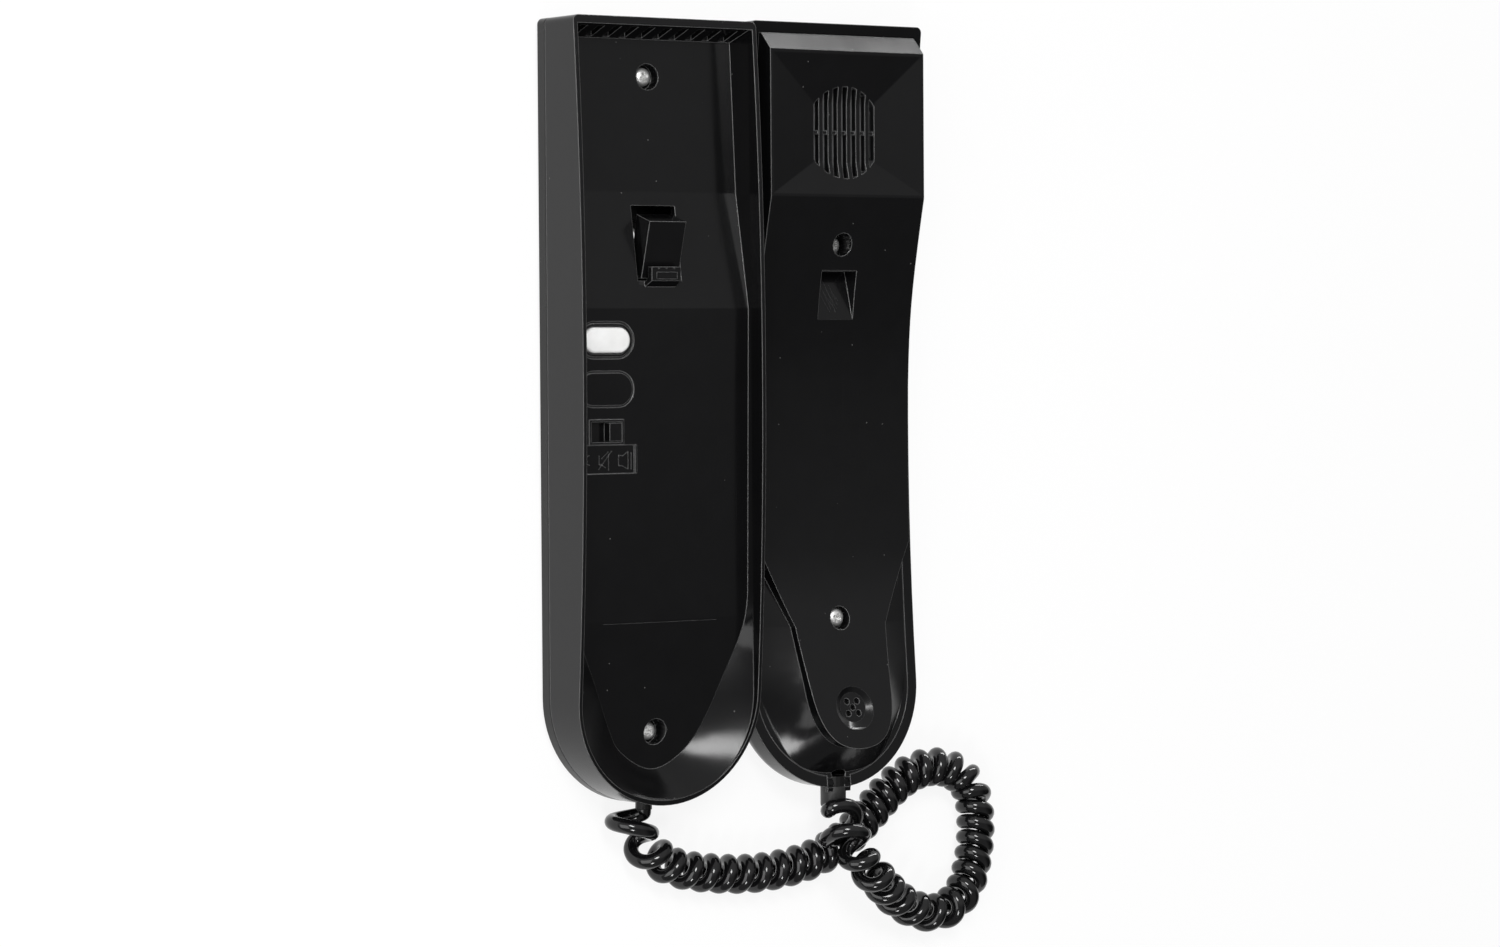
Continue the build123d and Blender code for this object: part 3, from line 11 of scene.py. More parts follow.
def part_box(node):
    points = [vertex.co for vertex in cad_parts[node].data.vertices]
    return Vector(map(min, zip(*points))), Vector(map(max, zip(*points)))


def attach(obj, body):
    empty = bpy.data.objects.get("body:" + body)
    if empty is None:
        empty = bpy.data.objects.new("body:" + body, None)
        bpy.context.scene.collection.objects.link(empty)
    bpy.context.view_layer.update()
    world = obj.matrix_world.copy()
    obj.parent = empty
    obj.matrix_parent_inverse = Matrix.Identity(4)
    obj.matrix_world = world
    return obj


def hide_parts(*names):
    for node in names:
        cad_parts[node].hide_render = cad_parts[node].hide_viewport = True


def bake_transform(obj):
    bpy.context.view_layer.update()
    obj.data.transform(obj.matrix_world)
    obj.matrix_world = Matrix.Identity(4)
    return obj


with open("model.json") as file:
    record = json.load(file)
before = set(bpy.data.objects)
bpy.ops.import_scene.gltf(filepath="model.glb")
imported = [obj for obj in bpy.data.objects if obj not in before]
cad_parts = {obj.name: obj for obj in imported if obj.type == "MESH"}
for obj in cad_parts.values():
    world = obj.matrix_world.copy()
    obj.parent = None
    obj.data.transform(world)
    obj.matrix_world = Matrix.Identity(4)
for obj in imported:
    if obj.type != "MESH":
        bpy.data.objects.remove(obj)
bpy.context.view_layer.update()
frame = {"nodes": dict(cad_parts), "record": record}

MM = 0.001

# Camera at the photograph's place: its right, up and back directions, then where it stands
CAMERA_AXES = ((0.8241, -0.0068, 0.5664), (0.0211, 0.9996, -0.0187), (-0.5660, 0.0273, 0.8239))
CAMERA_PLACE = (-0.6866, 0.0170, 1.0596)
camera_data = bpy.data.cameras.new("camera")
camera_data.lens = 107.1
camera_data.sensor_width = 36.0
camera_data.clip_end = 20.0
camera = bpy.data.objects.new("camera", camera_data)
bpy.context.scene.collection.objects.link(camera)
turn = Matrix(CAMERA_AXES).transposed().to_4x4()
camera.matrix_world = Matrix.Translation(CAMERA_PLACE) @ turn
bpy.context.scene.camera = camera

# Curly cord: the route of its axis in millimetres, then the wire wound round it, in metres
CORD_R = 0.00215
COIL_R = 0.0037
ROUTE = ((0, -112, 6), (0, -115, 6), (-0.5, -118.5, 6.3), (0, -122, 6.5), (3, -125.5, 6.3),
         (7.5, -128.3, 6), (14, -130.4, 6), (24, -132, 6),
         (36, -133, 6), (48, -132.3, 6), (60, -130, 6), (70.5, -125, 6), (79.5, -117.5, 6),
         (88, -109.8, 6), (98, -105.5, 6), (109, -106.5, 6), (116.5, -113, 6), (118, -123, 6),
         (117, -134, 6), (113.5, -144, 6), (105.5, -149.5, 6), (96, -148.5, 7), (87, -144.5, 9.5),
         (80.5, -140.5, 12.5), (74.5, -136.5, 16.5), (69, -132.8, 18.2), (65, -128.2, 18.8),
         (62.5, -123.2, 17.8), (62, -119.2, 13.6), (62, -116.4, 10.6), (62, -114.5, 11.3))
ROUTE_STEPS = 24              # points of the route's line between two of its control points
WIRE_STEPS = 6                # and of the wire's
HEADING_REACH = 0.0015        # to each side, for the direction of the axis
BEND_REACH = 0.002            # to each side, for how sharply the axis turns
LEAD = 0.0006                 # wire on the axis at each end
EASE = 0.0024                 # length in which the coil opens to its full radius
TURN_STEPS = 1500             # of the axis, in which the curls are counted
CURL_POINTS = 16              # control points of the wire in one curl
WIRE_GAP = 0.0002             # between neighbouring curls where the coil is closed
CLOSEST_BEND = 0.75           # coil's radius over the bend's, beyond which the pitch grows no more
BASE_SLACK = 0.0015           # more pitch on the run from the wall unit
RISE_SLACK = 0.0036           # more pitch where the coil rises over itself
HANDSET_SLACK = -0.0026       # and less again at the handset
BASE_CURL, HANDSET_CURL = 0.5, 0.75   # how much larger the coil is at its ends
LARGE_CURLS = 0.02            # length in which it comes down to its own radius
FIRST_CURL_ASIDE = Vector((-0.0052, 0, 0.0015))       # at the wall unit
ASIDE_FROM, ASIDE_LENGTH = 0.003, 0.009
LEAN = 0.4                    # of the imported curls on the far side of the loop
LEAN_SIDE = Vector((-0.57, 0, 0.82))                  # this side of each curl lies back along the axis


def spline_object(name, points, bevel, steps=WIRE_STEPS):
    """one open NURBS spline through its control points"""
    data = bpy.data.curves.new(name, "CURVE")
    data.dimensions = "3D"
    spline = data.splines.new("NURBS")
    spline.points.add(len(points) - 1)
    for slot, point in zip(spline.points, points):
        slot.co = (*point, 1.0)
    spline.order_u = 3
    spline.use_endpoint_u = True
    spline.resolution_u = steps
    data.bevel_depth = bevel
    data.bevel_resolution = 6
    data.use_fill_caps = True
    thing = bpy.data.objects.new(name, data)
    bpy.context.scene.collection.objects.link(thing)
    return thing


def as_mesh(thing):
    """mesh of a curve object, which goes"""
    made = bpy.data.meshes.new_from_object(thing.evaluated_get(bpy.context.evaluated_depsgraph_get()))
    bpy.data.objects.remove(thing)
    return made


def metres(points):
    return [tuple(c * MM for c in point) for point in points]


def smooth(share):
    share = min(max(share, 0.0), 1.0)
    return share * share * (3 - 2 * share)


def bracket(table, value):
    """neighbouring places of a rising table, with the value between them"""
    low, high = 0, len(table) - 1
    while high - low > 1:
        middle = (low + high) // 2
        low, high = (middle, high) if table[middle] <= value else (low, middle)
    return low, high


guide = spline_object("cord_guide", metres(ROUTE), 0.0, ROUTE_STEPS)
line = [v.co.copy() for v in as_mesh(guide).vertices]
way = [0.0]
for a, b in zip(line, line[1:]):
    way.append(way[-1] + (b - a).length)
total = way[-1]


def on_axis(s):
    """place on the axis at a length along it"""
    s = min(max(s, 0.0), total)
    low, high = bracket(way, s)
    share = (s - way[low]) / max(way[high] - way[low], 1e-9)
    return line[low].lerp(line[high], share)


def heading(s):
    """direction of the axis"""
    return (on_axis(s + HEADING_REACH) - on_axis(s - HEADING_REACH)).normalized()


def past(s, start, length):
    """0 before a share of the axis, 1 after a further share of it"""
    return smooth((s / total - start) / length)


def pitch_at(s):
    """length of the axis that one curl takes"""
    bend = (heading(s + BEND_REACH) - heading(s - BEND_REACH)).length / (2 * BEND_REACH)
    slack = BASE_SLACK * (1 - past(s, 0.2, 0.25)) + RISE_SLACK * past(s, 0.7, 0.1)
    slack += HANDSET_SLACK * past(s, 0.9, 0.04)
    return (2 * CORD_R + WIRE_GAP) / (1 - min(COIL_R * bend, CLOSEST_BEND)) + slack


def wire_at(s, angle):
    """point of the wire at a length along the axis and an angle round it"""
    along = heading(s)
    across = along.cross(Vector((0, 0, 1))).normalized()
    rise = across.cross(along)
    near = min(s - LEAD, total - LEAD - s)
    larger = BASE_CURL if s < total / 2 else HANDSET_CURL
    reach = COIL_R * smooth(near / EASE) * (1 + larger * (1 - smooth(near / LARGE_CURLS)))
    gone = s - LEAD
    aside = FIRST_CURL_ASIDE * smooth(gone / EASE) * (1 - smooth((gone - ASIDE_FROM) / ASIDE_LENGTH))
    out = across * math.sin(angle) - rise * math.cos(angle)
    lean = LEAN * past(s, 0.5, 0.08) * (1 - past(s, 0.7, 0.08))
    return on_axis(s) + aside + (out - along * lean * out.dot(LEAN_SIDE)) * reach


wound = total - 2 * LEAD
turns = [0.0]
for i in range(TURN_STEPS):
    turns.append(turns[-1] + wound / TURN_STEPS / pitch_at(LEAD + wound * (i + 0.5) / TURN_STEPS))
curls = round(turns[-1])
wire = [on_axis(0.0), on_axis(LEAD * 0.5)]
count = curls * CURL_POINTS
for k in range(count + 1):
    turn_now = turns[-1] * k / count
    low, high = bracket(turns, turn_now)
    step = low + (turn_now - turns[low]) / (turns[high] - turns[low])
    wire.append(wire_at(LEAD + wound * step / TURN_STEPS, 2 * math.pi * curls * k / count - math.pi / 2))
wire += [on_axis(total - LEAD * 0.5), on_axis(total)]

wire_line = [v.co.copy() for v in as_mesh(spline_object("cord_line", wire, 0.0)).vertices]
tube = as_mesh(spline_object("cord_tube", wire, CORD_R))
for face in tube.polygons:
    face.use_smooth = True
cord = bpy.data.objects.new("cord_wire", tube)
bpy.context.scene.collection.objects.link(cord)
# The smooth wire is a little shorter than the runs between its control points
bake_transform(cord)
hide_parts("curly_cord")


# Small pieces, with their sizes in millimetres
def cad_object(name):
    """object of a CAD node, or the piece of that name"""
    thing = frame["nodes"].get(name, name)
    return bpy.data.objects[thing] if isinstance(thing, str) else thing


def piece(name, mesh, body, node=None, flat=False):
    """a named piece that rides on a body and may stand for a CAD node"""
    for face in mesh.polygons:
        face.use_smooth = not flat
    thing = bpy.data.objects.new(name, mesh)
    bpy.context.scene.collection.objects.link(thing)
    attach(thing, body)
    if node:
        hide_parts(node)
    return thing


def add_rings(shape, rings):
    """closed skin through rings of points, with a face on each end"""
    rows = [[shape.verts.new(point) for point in ring] for ring in rings]
    for low, high in zip(rows, rows[1:]):
        for i in range(len(low)):
            j = (i + 1) % len(low)
            shape.faces.new((low[i], low[j], high[j], high[i]))
    shape.faces.new(list(reversed(rows[0])))
    shape.faces.new(rows[-1])


def circle(x, y, z, radius, count=48):
    angles = [2 * math.pi * i / count for i in range(count)]
    return [(x + radius * math.cos(angle), y + radius * math.sin(angle), z) for angle in angles]


def stadium(x, y, z, half_length, half_width, count=24):
    """slot outline with round ends"""
    points = []
    for side in (1, -1):
        for i in range(count + 1):
            angle = -math.pi / 2 + math.pi * i / count
            points.append((x + side * (half_length - half_width + half_width * math.cos(angle)),
                           y + side * half_width * math.sin(angle), z))
    return points


def finished(shape, name):
    """mesh of a bmesh shape, which goes"""
    mesh = bpy.data.meshes.new(name)
    bmesh.ops.recalc_face_normals(shape, faces=shape.faces)
    shape.to_mesh(mesh)
    shape.free()
    return mesh


SHANK_R = 1.3
# Radius, and height over the seat
SCREW_DOME = ((2.7, 0), (2.7, 0.55), (2.62, 0.95), (2.42, 1.35), (2.05, 1.72), (1.5, 1.97), (0.8, 2.09))
RECESS_BARS = ((0.42, 1.45), (1.45, 0.42))           # half sizes of the two bars of the cross
RECESS_LEVELS = ((0.75, 0.55), (1.6, 1), (2.4, 1))   # height over the seat, share of the bar's size
SCREW_TWIST = 0.5             # from one screw to the next


def recess_bar(half_x, half_y, seat):
    """tapered bar that cuts one arm of the cross"""
    bar = bmesh.new()
    add_rings(bar, [metres([(p * half_x * share, q * half_y * share, seat + height)
                            for p, q in ((1, 1), (-1, 1), (-1, -1), (1, -1))])
                    for height, share in RECESS_LEVELS])
    cutter = bpy.data.objects.new("cutter", finished(bar, "cutter"))
    bpy.context.scene.collection.objects.link(cutter)
    return cutter


def screw_mesh(name, places, turn_now):
    """pan heads with a tapered cross recess, washer face and shank"""
    parts = bmesh.new()
    for number, (x, y, seat, foot) in enumerate(places):
        head = bmesh.new()
        dome = [(SHANK_R, foot), (SHANK_R, seat)] + [(r, seat + height) for r, height in SCREW_DOME]
        add_rings(head, [metres(circle(0, 0, z, r)) for r, z in dome])
        core = bpy.data.objects.new("core", finished(head, "core"))
        bpy.context.scene.collection.objects.link(core)
        for half_x, half_y in RECESS_BARS:
            cutter = recess_bar(half_x, half_y, seat)
            cut = core.modifiers.new("cut", "BOOLEAN")
            cut.object = cutter
            cut.operation = "DIFFERENCE"
            cut.solver = "EXACT"
            graph = bpy.context.evaluated_depsgraph_get()
            mesh = bpy.data.meshes.new_from_object(core.evaluated_get(graph))
            core.modifiers.clear()
            core.data = mesh
            bpy.data.objects.remove(cutter)
        twist = Matrix.Rotation(turn_now + number * SCREW_TWIST, 4, "Z")
        core.data.transform(Matrix.Translation((x * MM, y * MM, 0)) @ twist)
        parts.from_mesh(core.data)
        bpy.data.objects.remove(core)
    mesh = bpy.data.meshes.new(name)
    parts.to_mesh(mesh)
    parts.free()
    return mesh


def sharpen(thing, degrees):
    """smooth faces with the edges beyond an angle kept sharp"""
    thing.data.set_sharp_from_angle(angle=math.radians(degrees))


# Screws: x, y, seat and foot of each, and how far the first is turned
TRAY_SCREWS = ((0, 94.16, 7.0, 2.3), (0, -89.65, 7.0, 2.3))
GRIP_SCREWS = ((62, 47.52, 11.2, 5.4), (62, -59.95, 12.0, 6.2))
for name, node, body, places, turn_now in (
        ("tray_screws_fine", "cover_screws", "base", TRAY_SCREWS, 0.3),
        ("grip_screws_fine", "handset_screws", "handset", GRIP_SCREWS, 0.7)):
    sharpen(piece(name, screw_mesh(name, places, turn_now), body, node), 35)

# White push button: flange under the cover, straight skirt, a crowned pillow top and a stem
BUTTON_X, BUTTON_Y = -18.605, 20.405
BUTTON_HALF = (7.5, 3.55)
FLANGE_PROUD = 1.0
FLANGE_Z = (13.0, 15.0)
SKIRT_TOP = 17.55
EDGE_ROUND, EDGE_RISE, EDGE_STEPS = 0.9, 0.85, 7
CROWN = ((5.6, 1.9, 18.55), (4.4, 0.8, 18.66), (3.8, 0.25, 18.7))   # half length, half width and z
STEM_R = 1.5
half_x, half_y = BUTTON_HALF
levels = [(half_x + FLANGE_PROUD, half_y + FLANGE_PROUD, z) for z in FLANGE_Z]
levels += [(half_x, half_y, z) for z in (FLANGE_Z[1], SKIRT_TOP)]
for i in range(1, EDGE_STEPS + 1):
    angle = math.pi / 2 * i / EDGE_STEPS
    inward = EDGE_ROUND * (1 - math.cos(angle))
    levels.append((half_x - inward, half_y - inward, SKIRT_TOP + EDGE_RISE * math.sin(angle)))
levels += CROWN
shape = bmesh.new()
add_rings(shape, [metres(stadium(BUTTON_X, BUTTON_Y, z, p, q)) for p, q, z in levels])
button_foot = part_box("door_button")[0][2] / MM
add_rings(shape, [metres(circle(BUTTON_X, BUTTON_Y, z, STEM_R, 24)) for z in (button_foot, FLANGE_Z[0])])
crowned = finished(shape, "button_crowned")
sharpen(piece("button_crowned", crowned, "button", "door_button"), 50)

RAY_FROM = 50.0               # above every surface
STROKE_STEP = 1.5             # between two points of a stroke


def touch(node, x, y):
    """point of a CAD node's top surface at x, y"""
    hit, place, _, _ = cad_object(node).ray_cast((x * MM, y * MM, RAY_FROM * MM), (0, 0, -1))
    if not hit:
        raise RuntimeError(f"nothing under {x}, {y}")
    return place


def ridges(name, node, body, strokes, radius):
    """raised strokes of the housing's own plastic, half sunk in the surface that carries them"""
    data = bpy.data.curves.new(name, "CURVE")
    data.dimensions = "3D"
    data.bevel_depth = radius * MM
    data.bevel_resolution = 3
    data.use_fill_caps = True
    for stroke in strokes:
        points = []
        for (x0, y0), (x1, y1) in zip(stroke, stroke[1:]):
            parts = max(1, round(math.hypot(x1 - x0, y1 - y0) / STROKE_STEP))
            points += [(x0 + (x1 - x0) * i / parts, y0 + (y1 - y0) * i / parts) for i in range(parts)]
        points.append(stroke[-1])
        spline = data.splines.new("POLY")
        spline.points.add(len(points) - 1)
        for slot_point, (x, y) in zip(spline.points, points):
            slot_point.co = (*touch(node, x, y), 1.0)
    wires = bpy.data.objects.new(name, data)
    bpy.context.scene.collection.objects.link(wires)
    piece(name, as_mesh(wires), body)


# Signs of the volume slide: a crossed-out speaker, a speaker, and the end of a third by the rim
signs = [
    ((-20.75, -11.65), (-20.78, -14.1)), ((-20.78, -14.1), (-19.9, -14.1)),
    ((-19.94, -12.5), (-17.75, -10.6)), ((-20.95, -15.5), (-16.65, -10.4)),
    ((-17.62, -11.3), (-17.66, -15.8)), ((-19.7, -14.3), (-18.7, -15.0)),
    ((-14.32, -11.65), (-14.35, -14.5)), ((-14.35, -14.5), (-13.4, -14.5)),
    ((-14.32, -11.65), (-13.3, -11.65)), ((-13.1, -11.8), (-11.2, -10.6)),
    ((-11.2, -10.6), (-11.2, -15.5)), ((-13.1, -14.6), (-11.2, -15.5)),
    ((-10.15, -10.9), (-10.2, -15.5)), ((-25.2, -12.1), (-23.97, -11.5)),
    ((-25.1, -13.0), (-24.5, -13.2)), ((-24.7, -13.9), (-23.9, -14.2))]
ridges("slide_signs", "front_cover", "base", signs, 0.16)

# Moulded bumps and panel on the bridge under the lever
bumps = [((x, 40.2), (x, 40.75)) for x in (-2.5, 0.0, 2.6)]
ridges("bridge_bumps", "front_cover", "base", bumps, 0.3)
ridges("bridge_panel", "front_cover", "base",
       [((-3.2, 39.3), (3.6, 39.3), (3.6, 37.4), (-3.2, 37.4), (-3.2, 39.3))], 0.09)

# Rub marks of the cradle lever on the ramp of the hook pocket
marks = [((60.6 + 0.5 * i, 28.0 + 1.1 * ((i * 5) % 4)), (58.0 + 0.6 * i, 33.5 + 0.9 * ((i * 3) % 5)))
         for i in range(8)]
ridges("pocket_marks", "handset_inner_shell", "handset", marks, 0.035)

# Line of the bend across the tray
ridges("tray_crease", "front_cover", "base", [((-19.5, -58.6), (18.5, -58.6))], 0.06)

# Tongue of the inner shell over the cord's collar, in the notch of the lip
TAB_LEFT, TAB_RIGHT = 57.95, 66.05
TAB_THICK = 1.2
TAB_END_Y, TAB_END_DROP = -110.1, 0.1
LIP_X = 57.2                  # on the lip beside the notch
tops = [(y, touch("handset_outer_shell", LIP_X, y).z / MM)
        for y in (-106.0, -106.6, -107.3, -108.0, -108.6)]
tops.append((TAB_END_Y, tops[-1][1] - TAB_END_DROP))
shape = bmesh.new()
add_rings(shape, [metres([(TAB_LEFT, y, top), (TAB_RIGHT, y, top), (TAB_RIGHT, y, top - TAB_THICK),
                          (TAB_LEFT, y, top - TAB_THICK)]) for y, top in tops])
piece("cord_tab", finished(shape, "cord_tab"), "handset", flat=True)

# Smooth sleeve of the collar where the cord leaves the handset: radius and y of each ring
SLEEVE_X, SLEEVE_Z = 62, 11.3
SLEEVE = ((3.4, -108.6), (3.7, -108.8), (3.7, -114.1), (3.55, -114.45), (3.2, -114.6), (2.3, -114.6))
shape = bmesh.new()
add_rings(shape, [metres((a, y, b) for a, b, _ in circle(SLEEVE_X, SLEEVE_Z, 0, r)) for r, y in SLEEVE])
sharpen(piece("cord_sleeve", finished(shape, "cord_sleeve"), "handset"), 40)


# Materials
def feed(tree, socket, source):
    """set an input to a value, or link an output to it"""
    if isinstance(source, (int, float, tuple)):
        socket.default_value = source
    else:
        tree.links.new(source, socket)


def spread(tree, source, low, high, out_low, out_high):
    """a range mapped on another, and held at its ends"""
    made = tree.nodes.new("ShaderNodeMapRange")
    for name, value in (("Value", source), ("From Min", low), ("From Max", high),
                        ("To Min", out_low), ("To Max", out_high)):
        feed(tree, made.inputs[name], value)
    return made.outputs["Result"]


def noise(tree, place, scale, detail=3.0, stretch=(1, 1, 1), turned=0.0):
    moved = tree.nodes.new("ShaderNodeMapping")
    moved.inputs["Scale"].default_value = stretch
    moved.inputs["Rotation"].default_value = (0, 0, turned)
    made = tree.nodes.new("ShaderNodeTexNoise")
    made.inputs["Scale"].default_value = scale
    made.inputs["Detail"].default_value = detail
    tree.links.new(place, moved.inputs["Vector"])
    tree.links.new(moved.outputs["Vector"], made.inputs["Vector"])
    return made.outputs["Fac"]


def maths(tree, first, second, operation="MULTIPLY"):
    made = tree.nodes.new("ShaderNodeMath")
    made.operation = operation
    feed(tree, made.inputs[0], first)
    feed(tree, made.inputs[1], second)
    return made.outputs["Value"]


def mixed(tree, share, first, second):
    """colour between two colours"""
    made = tree.nodes.new("ShaderNodeMix")
    made.data_type = "RGBA"
    for number, source in ((0, share), (6, first), (7, second)):
        feed(tree, made.inputs[number], source)
    return made.outputs[2]


SMUDGE, SMUDGE_SCALE = 0.25, 38.0          # share of the roughness, and noise per metre
DARKER, LIGHTER, TINT_SCALE = 0.8, 1.2, 150.0
LIGHTEST = 0.9                             # of any channel
HAIR_SCALE, HAIR_STRETCH = 30.0, (60, 1.5, 1.5)
HAIR_LINES = ((0.5, 0.68, 0.74), (-1.1, 0.7, 0.76))   # turn, and band of the noise, of two directions
PATCH_SCALE, PATCH_BAND = 25.0, (0.45, 0.65)          # where the hairlines show
HAIR_DEPTH = 0.25
SPECK_SCALE, SPECK_SIZE, SPECK_KEPT = 260.0, (0.035, 0.07), (0.7, 0.74)
SPECK_COLOR, SPECK_ROUGH = (0.3, 0.3, 0.29, 1), 0.5
# Painted highlight along edges: within this band, where the softened normal leaves the face, the colour
# turns towards the grey below
EDGE_BAND = (0.985, 0.8)                   # cosine between the face and its softened edge
PAINTED_HIGHLIGHT_COLOR = (0.3, 0.3, 0.3, 1)
RELIEF = 0.0001


def hairlines(tree, place):
    """fine scratches in two directions, in patches"""
    lines = [spread(tree, noise(tree, place, HAIR_SCALE, 2.0, HAIR_STRETCH, turned), low, high, 0, 1)
             for turned, low, high in HAIR_LINES]
    patches = spread(tree, noise(tree, place, PATCH_SCALE), *PATCH_BAND, 0, 1)
    return maths(tree, maths(tree, *lines, "MAXIMUM"), patches)


def specks(tree, place):
    """scattered dust"""
    cells = tree.nodes.new("ShaderNodeTexVoronoi")
    cells.inputs["Scale"].default_value = SPECK_SCALE
    tree.links.new(place, cells.inputs["Vector"])
    near = spread(tree, cells.outputs["Distance"], *SPECK_SIZE, 1, 0)
    return maths(tree, near, spread(tree, cells.outputs["Color"], *SPECK_KEPT, 0, 1))


def softened(tree, radius):
    """normal that rounds the edges, and how far it leaves the flat face"""
    rounded = tree.nodes.new("ShaderNodeBevel")
    rounded.samples = 6
    rounded.inputs["Radius"].default_value = radius
    flat_side = tree.nodes.new("ShaderNodeNewGeometry").outputs["Normal"]
    same = tree.nodes.new("ShaderNodeVectorMath")
    same.operation = "DOT_PRODUCT"
    tree.links.new(rounded.outputs["Normal"], same.inputs[0])
    tree.links.new(flat_side, same.inputs[1])
    return rounded.outputs["Normal"], same.outputs["Value"]


def moulded(name, color, rough, grain=0.02, grain_scale=1400.0, dust=0.0, scratches=0.0, edge=0.3,
            metal=0.0, level=0.3, painted_highlight=0.0):
    """moulded or plated surface: smudges, grain, dust, scratches, softened edges (in millimetres) and a
    painted highlight along them
    """
    mat = bpy.data.materials.new(name)
    mat.use_nodes = True
    tree = mat.node_tree
    shader = tree.nodes["Principled BSDF"]
    shader.inputs["Metallic"].default_value = metal
    shader.inputs["Specular IOR Level"].default_value = level
    place = tree.nodes.new("ShaderNodeTexCoord").outputs["Object"]
    rough_now = spread(tree, noise(tree, place, SMUDGE_SCALE, 4.0), 0.3, 0.7,
                       rough * (1 - SMUDGE), rough * (1 + SMUDGE))
    darker = (*[c * DARKER for c in color], 1)
    lighter = (*[min(c * LIGHTER, LIGHTEST) for c in color], 1)
    base = mixed(tree, noise(tree, place, TINT_SCALE), darker, lighter)
    height = maths(tree, noise(tree, place, grain_scale, 2.0), grain)
    if scratches:
        hair = hairlines(tree, place)
        rough_now = maths(tree, rough_now, maths(tree, hair, HAIR_DEPTH * scratches), "ADD")
        height = maths(tree, height, maths(tree, hair, -HAIR_DEPTH * scratches), "ADD")
    if dust:
        speck = maths(tree, specks(tree, place), dust)
        base = mixed(tree, speck, base, SPECK_COLOR)
        rough_now = maths(tree, rough_now, maths(tree, speck, SPECK_ROUGH), "ADD")
    relief = tree.nodes.new("ShaderNodeBump")
    relief.inputs["Distance"].default_value = RELIEF
    if edge:
        normal, same = softened(tree, edge * MM)
        # painted highlight: the colour turns grey along the edges, standing in for light caught on their
        # rounding
        base = mixed(tree, spread(tree, same, *EDGE_BAND, 0.0, painted_highlight), base, PAINTED_HIGHLIGHT_COLOR)
        tree.links.new(normal, relief.inputs["Normal"])
    tree.links.new(base, shader.inputs["Base Color"])
    tree.links.new(rough_now, shader.inputs["Roughness"])
    tree.links.new(height, relief.inputs["Height"])
    tree.links.new(relief.outputs["Normal"], shader.inputs["Normal"])
    return mat


looks = {
    # the gloss black housing carries a painted highlight along its edges
    "housing_black": moulded("black_gloss", (0.0035, 0.0035, 0.0038), 0.16, dust=0.25, scratches=0.35,
                             edge=0.45, painted_highlight=0.5),
    "plate_black": moulded("black_satin", (0.005, 0.005, 0.005), 0.3, grain=0.3, dust=0.3, edge=0.4),
    "button_white": moulded("white_gloss", (0.8, 0.8, 0.785), 0.22, grain=0.01, edge=0.0),
    "screw_steel": moulded("zinc_steel", (0.8, 0.8, 0.78), 0.42, grain=0.6, grain_scale=2600.0,
                           metal=0.85, edge=0.1),
    "cord_black": moulded("cord_gloss", (0.004, 0.004, 0.0043), 0.11, edge=0.0, level=0.5),
    "board_green": moulded("board_green", (0.02, 0.12, 0.05), 0.35),
    "switch_grey": moulded("switch_grey", (0.06, 0.06, 0.062), 0.45, grain=0.2),
    "terminal_grey": moulded("terminal_grey", (0.25, 0.27, 0.28), 0.5, grain=0.2),
    "ribbon_grey": moulded("ribbon_grey", (0.3, 0.3, 0.32), 0.5, grain=0.2),
    "bush_rubber": moulded("bush_rubber", (0.006, 0.006, 0.006), 0.33, grain=0.3),
    "sleeve_satin": moulded("sleeve_satin", (0.02, 0.02, 0.02), 0.42, grain=0.3, level=0.5),
    "spring_dark": moulded("spring_dark", (0.03, 0.03, 0.032), 0.5, metal=0.8, edge=0.0),
    "felt_black": moulded("felt_black", (0.004, 0.004, 0.004), 0.9, grain=3.0, grain_scale=1500.0,
                          edge=0.0, level=0.2),
    "capsule_metal": moulded("capsule_metal", (0.55, 0.55, 0.56), 0.35, metal=1.0),
    "weight_steel": moulded("weight_steel", (0.3, 0.3, 0.3), 0.45, metal=1.0, grain=0.5),
}


def dress(name, look):
    thing = cad_object(name)
    if not thing.material_slots:
        thing.data.materials.append(None)
    for slot in thing.material_slots:
        slot.material = looks[look]


# Every CAD node takes its slot's look, then the pieces made here and the darkened lever parts
for part in frame["record"]["subparts"]:
    dress(part["node"], part["material_slot"])
for look, names in (
        ("cord_black", ("cord_wire",)),
        ("screw_steel", ("tray_screws_fine", "grip_screws_fine")),
        ("button_white", ("button_crowned",)),
        ("housing_black", ("slide_signs", "bridge_bumps", "bridge_panel", "pocket_marks", "tray_crease",
                           "cord_tab")),
        ("sleeve_satin", ("cord_sleeve",)),
        ("spring_dark", ("hook_pin", "hook_spring"))):
    for name in names:
        dress(name, look)

# Floor: pale, white to the eye and in reflections, with the object's shadow kept
FLOOR_HALF = 3.0
FLOOR_Z = -0.0005
WHITE_SHARE = 0.87
shape = bmesh.new()
bmesh.ops.create_grid(shape, x_segments=8, y_segments=8, size=FLOOR_HALF)
floor = bpy.data.objects.new("floor", finished(shape, "floor"))
floor.location = (0, 0, FLOOR_Z)
bpy.context.scene.collection.objects.link(floor)
pale = bpy.data.materials.new("floor_pale")
pale.use_nodes = True
tree = pale.node_tree
cloth = tree.nodes["Principled BSDF"]
cloth.inputs["Base Color"].default_value = (0.9, 0.9, 0.9, 1)
cloth.inputs["Roughness"].default_value = 0.9
glow = tree.nodes.new("ShaderNodeEmission")
glow.inputs["Color"].default_value = (1, 1, 1, 1)
glow.inputs["Strength"].default_value = 1.0
kind = tree.nodes.new("ShaderNodeLightPath")
seen = maths(tree, kind.outputs["Is Camera Ray"], kind.outputs["Is Glossy Ray"], "MAXIMUM")
seen = maths(tree, seen, kind.outputs["Is Transmission Ray"], "MAXIMUM")
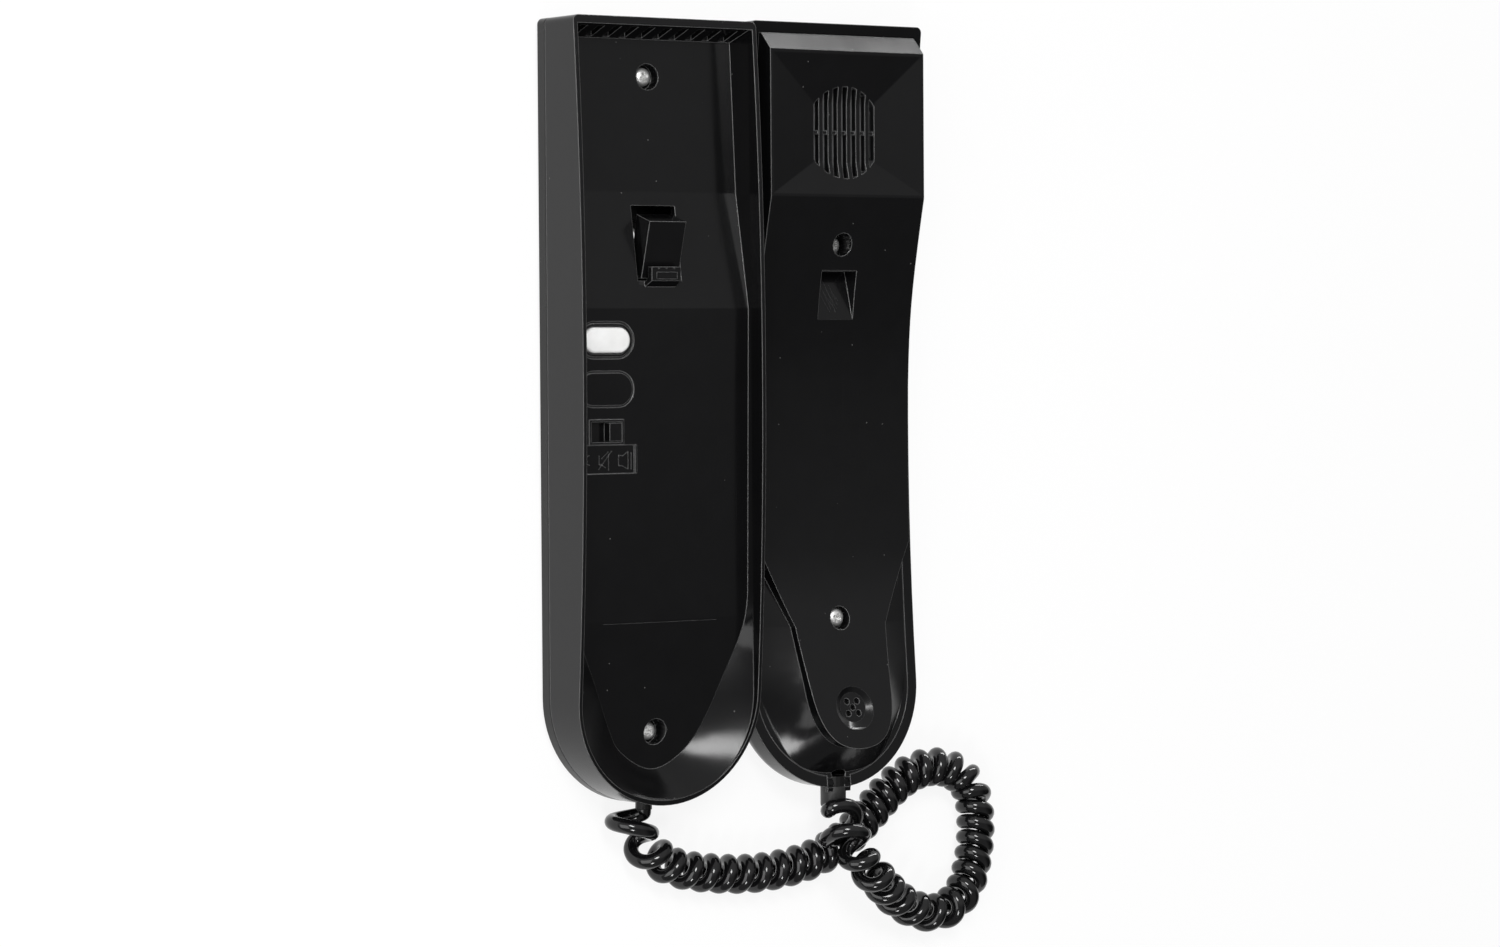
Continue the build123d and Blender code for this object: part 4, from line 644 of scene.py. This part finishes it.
blend = tree.nodes.new("ShaderNodeMixShader")
tree.links.new(maths(tree, seen, WHITE_SHARE), blend.inputs["Fac"])
tree.links.new(cloth.outputs["BSDF"], blend.inputs[1])
tree.links.new(glow.outputs["Emission"], blend.inputs[2])
tree.links.new(blend.outputs["Shader"], tree.nodes["Material Output"].inputs["Surface"])
floor.data.materials.append(pale)

# Light: a dim room, lighter to the left and past the object's head, and soft boxes
world = bpy.data.worlds.new("studio")
bpy.context.scene.world = world
world.use_nodes = True
tree = world.node_tree
room = tree.nodes["Background"]
room.inputs["Color"].default_value = (1, 1, 1, 1)
toward = tree.nodes.new("ShaderNodeTexCoord").outputs["Generated"]
apart = tree.nodes.new("ShaderNodeSeparateXYZ")
tree.links.new(toward, apart.inputs["Vector"])
leftward = spread(tree, apart.outputs["X"], 0.75, 0.4, 0.03, 0.24)
headward = spread(tree, apart.outputs["Y"], -0.12, 0.2, 0.0, 0.35)
tree.links.new(maths(tree, leftward, headward, "ADD"), room.inputs["Strength"])
bpy.context.scene.view_settings.view_transform = "Standard"

LIT_PLACE = Vector((0.03, 0, 0))           # that the soft boxes point at


def softbox(name, toward, distance, size, share):
    """a soft box that gives a flat floor this share of a full exposure"""
    toward = Vector(toward).normalized()
    data = bpy.data.lights.new(name, "AREA")
    data.shape = "RECTANGLE"
    data.size, data.size_y = size
    data.energy = math.pi ** 2 * share * distance ** 2 / toward.z
    lamp = bpy.data.objects.new(name, data)
    bpy.context.scene.collection.objects.link(lamp)
    lamp.visible_camera = False
    lamp.location = LIT_PLACE + toward * distance
    lamp.rotation_euler = (-toward).to_track_quat("-Z", "Y").to_euler()


softbox("upper", (-0.36, 0.38, 0.85), 1.3, (0.34, 0.46), 0.47)
softbox("lower", (-0.38, -0.6, 0.7), 1.3, (0.26, 0.24), 0.17)
softbox("left", (-0.84, -0.05, 0.5), 1.3, (1.0, 0.9), 0.2)
softbox("head", (0.58, 0.80, 0.05), 1.2, (0.9, 0.12), 0.02)

bpy.context.view_layer.update()
